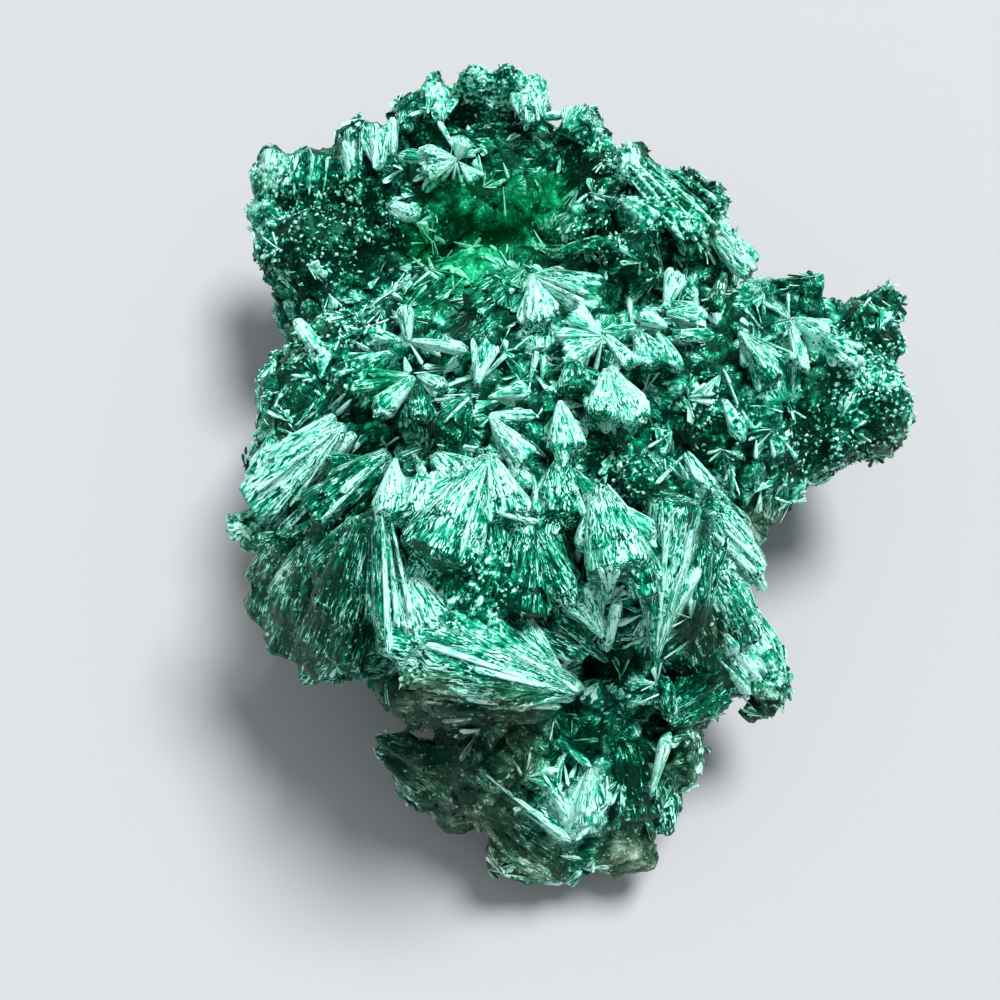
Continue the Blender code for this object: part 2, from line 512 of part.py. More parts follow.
def keep_outer_skin(bm):
    """Delete the small closed skins of the pockets that lie sealed between sheaves."""
    left = set(bm.verts)
    skins = []
    while left:
        start = left.pop()
        skin = {start}
        edge_of_growth = [start]
        while edge_of_growth:
            vert = edge_of_growth.pop()
            for edge in vert.link_edges:
                other = edge.other_vert(vert)
                if other in left:
                    left.remove(other)
                    skin.add(other)
                    edge_of_growth.append(other)
        skins.append(skin)
    skins.sort(key=len)
    pockets = [vert for skin in skins[:-1] for vert in skin]
    bmesh.ops.delete(bm, geom=pockets, context="VERTS")


def make_malachite_material():
    """Deep green with a silky, slightly rough surface."""
    material = bpy.data.materials.new("malachite")
    material.use_nodes = True
    shader = material.node_tree.nodes["Principled BSDF"]
    shader.inputs["Base Color"].default_value = MALACHITE_GREEN
    shader.inputs["Roughness"].default_value = MALACHITE_ROUGHNESS
    shader.inputs["Metallic"].default_value = 0.0
    return material


def make_malachite():
    """The whole specimen as one solid, cut flat where it broke from its rock."""
    specimen = add_collection("malachite_specimen")
    cutters = add_collection("cutters")
    growth = add_collection("growth")
    add_growth(growth)
    malachite = fuse(growth, "malachite", specimen)
    for thing in list(growth.objects):
        bpy.data.objects.remove(thing, do_unlink=True)
    bpy.data.collections.remove(growth)

    bm = bmesh.new()
    bm.from_mesh(evaluated_mesh(malachite))
    keep_outer_skin(bm)
    malachite.modifiers.clear()
    bm.to_mesh(malachite.data)
    bm.free()
    malachite.data.materials.append(make_malachite_material())
    malachite.data.shade_smooth()
    malachite.data.set_sharp_from_angle(angle=SHARP_ANGLE)

    flat_face = malachite.modifiers.new("Flat face", "BOOLEAN")
    flat_face.operation = "DIFFERENCE"
    flat_face.solver = "EXACT"
    flat_face.object = add_ground(cutters)
    return malachite


clear_scene()
make_malachite()
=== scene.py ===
# %% [markdown]
# # Fibrous malachite
# A hand-sized lump of fibrous malachite. It grew as fans and rosettes of thin green needles that
# start at a point and open until they meet the next fan. The lump rests on the flat face where it
# broke from its rock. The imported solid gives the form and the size; the fans with their fibres,
# the crust of small crystals and the grains are built here around that same form.

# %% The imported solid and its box
import math

import bmesh
import bpy
import numpy as np
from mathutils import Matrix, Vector
from mathutils.bvhtree import BVHTree


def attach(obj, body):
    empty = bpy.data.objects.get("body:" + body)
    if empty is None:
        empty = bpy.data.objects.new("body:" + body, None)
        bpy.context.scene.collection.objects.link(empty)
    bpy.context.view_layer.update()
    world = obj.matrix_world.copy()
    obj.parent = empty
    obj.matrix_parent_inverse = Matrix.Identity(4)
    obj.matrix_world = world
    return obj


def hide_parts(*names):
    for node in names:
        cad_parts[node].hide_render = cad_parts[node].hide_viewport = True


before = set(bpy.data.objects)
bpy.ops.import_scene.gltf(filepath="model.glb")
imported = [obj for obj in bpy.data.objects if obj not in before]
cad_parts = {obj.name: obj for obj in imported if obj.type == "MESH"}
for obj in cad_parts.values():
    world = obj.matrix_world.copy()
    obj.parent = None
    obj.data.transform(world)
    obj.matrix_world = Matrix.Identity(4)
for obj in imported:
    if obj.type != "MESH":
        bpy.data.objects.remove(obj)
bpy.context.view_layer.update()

# %% [markdown]
# ## Places
# All places are in millimetres until a mesh is made. A place on the lump is read as it looks from
# above the foot: x and y on a level plane, and a real height z. Sliding the point along its line
# of sight to that height gives the true place.

# %% Reading places
MM = 0.001
EYE = np.array([0.0, -54.0, 123.0])
READING_HEIGHT = 20.0


def place(points):
    """True places of read x, y and height z: the line of sight, cut at that height."""
    points = np.atleast_2d(np.asarray(points, float))
    reach = (EYE[2] - points[:, 2:3]) / (EYE[2] - READING_HEIGHT)
    read = points.copy()
    read[:, 2] = READING_HEIGHT
    return EYE + (read - EYE) * reach


def reading(points):
    """The x and y at which true places are read: the inverse of place()."""
    reach = (EYE[2] - READING_HEIGHT) / (EYE[2] - points[..., 2:3])
    return (EYE + (points - EYE) * reach)[..., :2]


# %% [markdown]
# ## Steady chance and soft noise
# Fibres differ from each other without any rule. Each one gets its own number from a fixed
# formula, so the lump is the same each time.

# %% Chance
def chance(index, seed):
    """A number from 0 to 1 for each whole number: what follows the point in a large sine."""
    return np.abs(np.modf(np.sin(index * 12.9898 + seed * 78.233) * 43758.5453)[0])


def soft_noise(points, seed):
    """Smooth noise from -1 to 1: random values at the corners of a unit lattice, blended."""
    cell = np.floor(points)
    part = points - cell
    part = part * part * (3 - 2 * part)
    total = np.zeros(points.shape[:-1])
    for corner in range(8):
        step = np.array([corner & 1, (corner >> 1) & 1, (corner >> 2) & 1])
        weight = np.prod(np.where(step == 1, part, 1 - part), axis=-1)
        total += weight * chance((cell + step) @ np.array([1.0, 57.0, 113.0]), seed)
    return total * 2 - 1


def smooth_step(value, low, high):
    """0 below low, 1 above high, and an even slope between them."""
    part = np.clip((value - low) / (high - low), 0, 1)
    return part * part * (3 - 2 * part)


def unit(vectors):
    """The vectors scaled to length 1."""
    return vectors / np.maximum(np.linalg.norm(vectors, axis=-1, keepdims=True), 1e-9)


# %% [markdown]
# ## Tints by place
# The same mineral looks different from place to place: weathered and greyish at the foot and the
# knobs, glowing emerald in the sheltered hollow, darker in pits and shade. A few round
# patches with soft edges say where.
# The emerald of the hollow is a deeper green with a painted glow, the SHADED patches are painted shade
# in pits and shaded places, and the LIT patches are painted light where the lump catches the light.

# %% Tint patches
# Each row: read x, y, radius, strength
WEATHERED = [
    (-6.0, -23.8, 4.5, 0.8), (0.5, -25.0, 4.5, 0.7), (15.6, -17.3, 2.8, 0.6),
    (20.5, -23.5, 2.6, 0.4), (9.5, -35.0, 3.4, 0.9), (-7.5, -28.0, 3.5, 0.5),
    (-2.0, -32.0, 4.0, 0.4), (2.0, -35.8, 4.0, 0.6), (19.2, 14.5, 1.8, 0.25),
    (-22.0, 27.0, 3.2, 0.2), (33.0, -1.0, 4.0, 0.4), (21.8, -7.8, 2.4, 0.6),
    (-15.0, -17.5, 4.5, 0.40), (-20.6, -9.0, 2.6, 0.2), (14.0, -28.0, 3.5, 0.4),
    (-5.0, -27.0, 6.0, 0.80), (-2.0, -33.0, 5.5, 0.85), (-18.0, -12.0, 3.0, 0.40),
    (1.0, -28.0, 3.0, 0.60),
]
# Painted glow over a deeper emerald green: these patches tint the sheltered hollow a brighter, more
# saturated green, as if light shone through it, and keep it smooth and calm.
EMERALD_GLOW = [
    (4.5, 25.0, 3.4, 1.0), (-3.0, 17.2, 3.6, 0.8), (0.0, 20.5, 4.6, 0.9),
    (-7.0, 19.5, 3.6, 0.7), (2.0, 23.2, 4.0, 0.8), (-4.0, 24.0, 4.4, 0.7),
    (-10.0, 5.0, 2.6, 0.3), (9.0, 14.0, 2.4, 0.3), (0.0, 22.0, 9.0, 0.45),
    (17.0, 22.0, 4.0, 0.15), (-6.0, 14.0, 4.0, 0.3),
]
# Painted shade: these patches darken pits and places that lie in shade.
SHADED = [
    (-3.5, -25.8, 4.5, 0.22), (15.6, -17.6, 3.0, 0.35), (12.0, -20.5, 2.4, 0.20),
    (10.0, 20.0, 4.5, 0.20), (-14.0, 19.0, 6.5, 0.18), (-17.0, 20.0, 3.5, 0.15),
    (7.5, 28.0, 3.4, 0.3), (27.0, -1.0, 4.5, 0.25), (8.5, -20.0, 2.4, 0.25),
    (-13.0, -15.0, 4.5, 0.15), (3.0, -30.5, 2.4, 0.2), (-2.5, -30.3, 1.4, 0.4),
    (22.8, 11.3, 2.0, 0.45), (16.0, -21.5, 2.4, 0.20), (9.8, -29.0, 2.2, 0.25),
    (6.8, -26.0, 2.4, 0.2), (-7.8, -27.4, 2.0, 0.4), (-8.4, -22.0, 2.0, 0.2),
]
# Painted light: these patches brighten places that catch the light.
LIT = [
    (31.0, 5.0, 7.0, 0.14), (26.0, 9.0, 5.0, 0.06), (-1.5, 36.8, 4.5, 0.34),
    (3.0, 36.5, 4.0, 0.15), (-20.0, 28.0, 4.5, 0.18), (-22.0, 21.5, 3.5, 0.34),
    (-6.0, -16.5, 5.0, 0.16), (-4.0, -7.0, 5.0, 0.06), (17.0, 4.0, 5.0, 0.12),
    (5.0, 23.5, 3.5, 0.20), (-2.0, 17.5, 3.5, 0.16), (-16.0, 14.0, 5.0, 0.10), 
    (0.0, 9.0, 12.0, 0.04), (24.0, -2.0, 5.0, 0.15), (20.4, -12.0, 4.5, 0.20),
    (21.0, -20.0, 3.0, 0.14),
    (10.0, -23.0, 4.0, 0.15), (9.5, -36.0, 3.5, 0.35), (4.0, -31.0, 3.5, 0.15),
    (-21.0, -9.0, 3.2, 0.18), (10.0, 30.0, 3.2, 0.12), (20.5, 23.5, 3.2, 0.25),
]
GRANULAR = [
    (32.0, 6.0, 8.0, 1.0), (27.0, -1.5, 6.0, 1.0), (-15.0, 21.0, 9.0, 1.0),
    (-20.0, 26.0, 4.0, 0.8), (-2.0, 37.0, 6.5, 1.0), (16.0, 23.0, 6.0, 0.8),
    (21.0, -21.0, 4.0, 0.4), (-20.8, -8.7, 2.6, 1.0), (-2.0, -30.0, 4.5, 0.2),
    (9.4, -3.0, 2.6, 1.0), (11.6, -4.0, 2.6, 0.8),
    (17.0, 1.0, 3.0, 1.0), (19.4, 2.0, 3.0, 0.9), (-1.5, -14.0, 4.5, 1.0),
    (-4.0, -24.0, 6.0, 0.15), (9.0, -23.0, 3.0, 0.4), (-15.0, 9.0, 6.5, 0.7),
    (9.0, 20.0, 4.5, 0.8), (11.5, 26.5, 4.5, 0.8), (9.5, 29.8, 3.5, 0.9),
    (20.0, 24.0, 4.0, 0.8),
]


def patches(points, table):
    """The strongest of the table's soft round patches at each true place."""
    seen = reading(points)
    strength = np.zeros(points.shape[:-1])
    for x, y, radius, most in table:
        away = np.hypot(seen[..., 0] - x, seen[..., 1] - y)
        strength = np.maximum(strength, most * (1 - smooth_step(away, 0.35 * radius, radius)))
    return strength


# %% [markdown]
# ## From arrays to a piece
# Every new piece is one mesh made from whole arrays. Each vertex keeps a few facts for the finish:
# the apex that its fibres spread from and how far from it they have their full width, how bright
# its crystal is with the painted light and painted shade of its place added, and the tints of its place.

# %% Making a mesh piece
MOST_BRIGHT = 0.95


def give_attribute(mesh, name, values):
    """Store one number, or three, with each vertex."""
    kind, key = ("FLOAT", "value") if values.ndim == 1 else ("FLOAT_VECTOR", "vector")
    attribute = mesh.attributes.new(name, kind, "POINT")
    attribute.data.foreach_set(key, values.astype(np.float32).ravel())


def make_piece(name, points, quads, triangles, facts, sharp_angle):
    """A mesh object from places in mm, quads and triangles by vertex number, and vertex facts."""
    points = points.copy()
    points[:, 2] = np.maximum(points[:, 2], 0.0)
    mesh = bpy.data.meshes.new(name)
    corners = np.concatenate([quads.ravel(), triangles.ravel()]).astype(np.int32)
    starts = np.concatenate([4 * np.arange(len(quads)),
                             4 * len(quads) + 3 * np.arange(len(triangles))]).astype(np.int32)
    mesh.vertices.add(len(points))
    mesh.vertices.foreach_set("co", (points * MM).astype(np.float32).ravel())
    mesh.loops.add(len(corners))
    mesh.loops.foreach_set("vertex_index", corners)
    mesh.polygons.add(len(starts))
    mesh.polygons.foreach_set("loop_start", starts)
    mesh.update(calc_edges=True)
    mesh.validate()
    give_attribute(mesh, "apex", facts["apex"])
    give_attribute(mesh, "span", facts["span"])
    # Painted light and shade: the LIT patches brighten and the SHADED patches darken every piece.
    bright = facts["bright"] + patches(points, LIT) - patches(points, SHADED)
    give_attribute(mesh, "bright", np.minimum(bright, MOST_BRIGHT))
    give_attribute(mesh, "tint", np.column_stack([
        patches(points, WEATHERED), patches(points, EMERALD_GLOW), patches(points, GRANULAR)]))
    mesh.shade_smooth()
    mesh.set_sharp_from_angle(angle=math.radians(sharp_angle))
    piece = bpy.data.objects.new(name, mesh)
    bpy.context.scene.collection.objects.link(piece)
    triangle_count = 2 * len(quads) + len(triangles)
    print(f"{name}: {triangle_count} triangles")
    return piece


# %% [markdown]
# ## The fan of fibres
# One surface formula makes every crystal sheaf, from a 12 mm fan to a 2 mm petal. A point has a
# share of the width (-1 to 1) and a distance along the fibres. Its direction from the root turns
# by its share of the opening angle, so the fibres spread evenly. On top, the fibres lie in bundles
# of unequal height and length, each with a steep side and a sloping side, and each bundle has
# finer ridges. The free ends are blunt and uneven.

# %% The fan's surface
ROOT_THICKNESS = 0.45
ROOT_PINCH = 0.35
ROOT_SINK = 0.6
RIM_TAPER = 0.25
RIM_DROP = 0.35
EDGE_LIGHT = 0.35
END_ROUNDING = 1.2
OPEN_ENOUGH = 0.35
WIDE_ROOT = 0.85
END_BULGE = 0.05
SECTION_POWER = 2.6
BUNDLE_WIDTH = 0.62
LONGEST_APEX = 60.0


def fan_faces(fans, rows, around):
    """Quads between neighbouring rings of every fan, and triangles to its two end points."""
    each = rows * around + 2
    ring = np.arange(around)
    following = (ring + 1) % around
    low = (np.arange(rows - 1) * around)[:, None]
    quads = np.stack([low + ring, low + following, low + around + following, low + around + ring],
                     axis=-1).reshape(-1, 4)
    last = (rows - 1) * around
    root_end = np.stack([np.full(around, rows * around), following, ring], axis=-1)
    rim_end = np.stack([np.full(around, rows * around + 1), last + ring, last + following], axis=-1)
    shift = (np.arange(fans) * each)[:, None, None]
    return ((quads[None] + shift).reshape(-1, 4),
            (np.concatenate([root_end, rim_end])[None] + shift).reshape(-1, 3))


def fan_surface(fans, along, top, below, caps, relief):
    """Places and facts of many fans at once; one row of numbers per fan in each array.

    Across the fan a point turns about the root by its share of the opening angle; along the fan
    its distance from the root grows to the rim; the section is a flattened round whose top
    carries the bundles (saw teeth of chance height) and broken ridges (noise drawn out along the
    fibres). The sides of the fan, drawn back past the root, meet in its apex.
    """
    root, rim, facing = fans["root"], fans["rim"], fans["facing"]
    half_root, half_rim, thick = fans["half_root"], fans["half_rim"], fans["thick"]
    count = len(root)
    length = np.linalg.norm(rim - root, axis=1)
    axis = unit(rim - root)
    across = unit(np.cross(facing, axis))
    outward = np.cross(axis, across)
    opening = np.arctan2(half_rim - half_root, length)

    share = np.concatenate([np.linspace(-1, 1, top), np.linspace(1, -1, below + 2)[1:-1]])
    side = np.concatenate([np.ones(top), -np.ones(below)])
    depth = side * (1 - np.abs(share) ** SECTION_POWER) ** (1 / SECTION_POWER)
    cap_turn = np.linspace(0, math.pi / 2, caps + 2)[1:-1]
    distance = np.concatenate([np.linspace(0.02, 1, along), 1 + END_BULGE * np.sin(cap_turn)])
    scale = np.concatenate([np.ones(along), np.cos(cap_turn)])
    rows, around = len(distance), len(share)

    shape = (count, rows, around)
    share_of = np.broadcast_to(scale[:, None] * share, shape)
    depth_of = np.broadcast_to(scale[:, None] * depth, shape)
    far = np.broadcast_to(distance[:, None], shape)
    seed = fans["seed"][:, None, None]

    number = np.maximum(np.round(2 * half_rim / BUNDLE_WIDTH), 2)[:, None, None]
    waver = 0.18 * np.sin(far * 5 + seed * 7.0) + 0.1 * np.sin(far * 13 + seed * 3.0)
    bundle_place = (share_of + 1) / 2 * number + waver
    bundle = np.floor(bundle_place)
    inside = bundle_place - bundle
    across_mm = share_of * half_rim[:, None, None]
    along_mm = far * length[:, None, None]
    ridge = soft_noise(np.stack([across_mm / 0.42, along_mm / 2.0, seed + 0 * far], axis=-1), 6)
    strand = soft_noise(np.stack([across_mm / 0.20, along_mm / 0.9, seed + 0 * far], axis=-1), 7)

    height_of = chance(bundle, seed) - 0.5
    slope_of = chance(bundle, seed + 1) - 0.5
    shorter = ((0.20 * chance(bundle, seed + 2) + 0.05 * (strand + 1))
               * np.clip(half_rim / 1.8, 0.35, 1.0)[:, None, None])
    grow = smooth_step(far, 0.05, 0.5)
    top_mask = np.sqrt(np.clip(depth_of, 0, 1)) * grow
    size = (relief * np.clip(half_rim, 0.3, 2.0))[:, None, None]
    lift = top_mask * (size * (height_of + 1.4 * slope_of * (inside - 0.5))
                       + np.minimum(size, 0.13) * (0.9 * ridge + 0.45 * strand))
    rounding = END_ROUNDING * half_rim * np.clip(1 - opening / OPEN_ENOUGH, 0, 1)
    reach = (far * (1 - shorter * smooth_step(far, 0.5, 1.0)) * length[:, None, None]
             - rounding[:, None, None] * share_of ** 2 * smooth_step(far, 0.4, 1.0))

    angle = opening[:, None, None] * share_of
    narrowest = np.where(half_root > WIDE_ROOT, ROOT_PINCH, 0.8)[:, None, None]
    pinch = narrowest + (1 - narrowest) * smooth_step(far, 0.0, 0.25)
    sunk = (ROOT_SINK * half_root[:, None, None] * (1 - smooth_step(far, 0.0, 0.3))
            + RIM_DROP * thick[:, None, None] * smooth_step(far, 0.7, 1.05) ** 2)
    swell = (ROOT_THICKNESS + (1 - ROOT_THICKNESS) * np.minimum(far, 1)
             - RIM_TAPER * smooth_step(far, 0.7, 1.0))
    points = (root[:, None, None, :]
              + axis[:, None, None, :] * (reach * np.cos(angle))[..., None]
              + across[:, None, None, :] * (half_root[:, None, None] * share_of * pinch
                                            + reach * np.sin(angle))[..., None]
              + outward[:, None, None, :] * (thick[:, None, None] * swell * depth_of
                                             + lift - sunk)[..., None])

    # Painted light and shade on the fan: each bundle lighter on one side of its slope and darker on the
    # other, a painted highlight along the sides and the rim (EDGE_LIGHT), and painted shade on the
    # underside.
    edge = np.maximum(smooth_step(np.abs(share_of), 0.82, 1.0), 0.6 * smooth_step(far, 0.85, 1.0))
    edge_light = (EDGE_LIGHT / (0.7 + half_rim))[:, None, None]
    bright = (fans["tone"][:, None, None] + 0.20 * (chance(bundle, seed + 5) - 0.5)
              + 0.22 * (inside - 0.5) * np.sign(slope_of) * grow + 0.08 * ridge
              + edge_light * edge + np.where(depth_of < 0, -0.15, 0.0))

    behind = np.minimum(half_root / np.maximum(np.tan(opening), 0.02), LONGEST_APEX)
    apex = root - axis * behind[:, None]
    span = length + behind

    root_end = (root - axis * (0.02 * length)[:, None])[:, None, :]
    rim_end = (root + axis * ((1 + END_BULGE) * 0.93 * length)[:, None])[:, None, :]
    places = np.concatenate([points.reshape(count, -1, 3), root_end, rim_end], axis=1)
    tone = fans["tone"][:, None]
    bright = np.concatenate([bright.reshape(count, -1), tone, tone], axis=1)
    quads, triangles = fan_faces(count, rows, around)
    facts = {"bright": bright.ravel(), "span": np.repeat(span, places.shape[1]),
             "apex": np.repeat(apex, places.shape[1], axis=0)}
    return places.reshape(-1, 3), quads, triangles, facts


def pick(fans, chosen):
    """The rows of a set of fans that a mask or a list of numbers names."""
    return {key: values[chosen] for key, values in fans.items()}


# %% [markdown]
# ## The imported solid
# The solid's own mesh comes as loose triangles. A merged copy of it, as arrays and as a search
# tree, tells the finer pieces where the surface is.

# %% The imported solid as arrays
def merged_solid():
    """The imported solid's mesh with its loose triangles joined."""
    bm = bmesh.new()
    bm.from_mesh(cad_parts["malachite"].data)
    bmesh.ops.remove_doubles(bm, verts=bm.verts, dist=0.001 * MM)
    mesh = bpy.data.meshes.new("merged")
    bm.to_mesh(mesh)
    bm.free()
    return mesh


solid_mesh = merged_solid()
solid_points = np.array([v.co for v in solid_mesh.vertices]) / MM
solid_triangles = np.array([p.vertices[:] for p in solid_mesh.polygons])
solid_tree = BVHTree.FromPolygons(solid_points.tolist(), solid_triangles.tolist())
print("merged solid:", len(solid_points), "vertices")
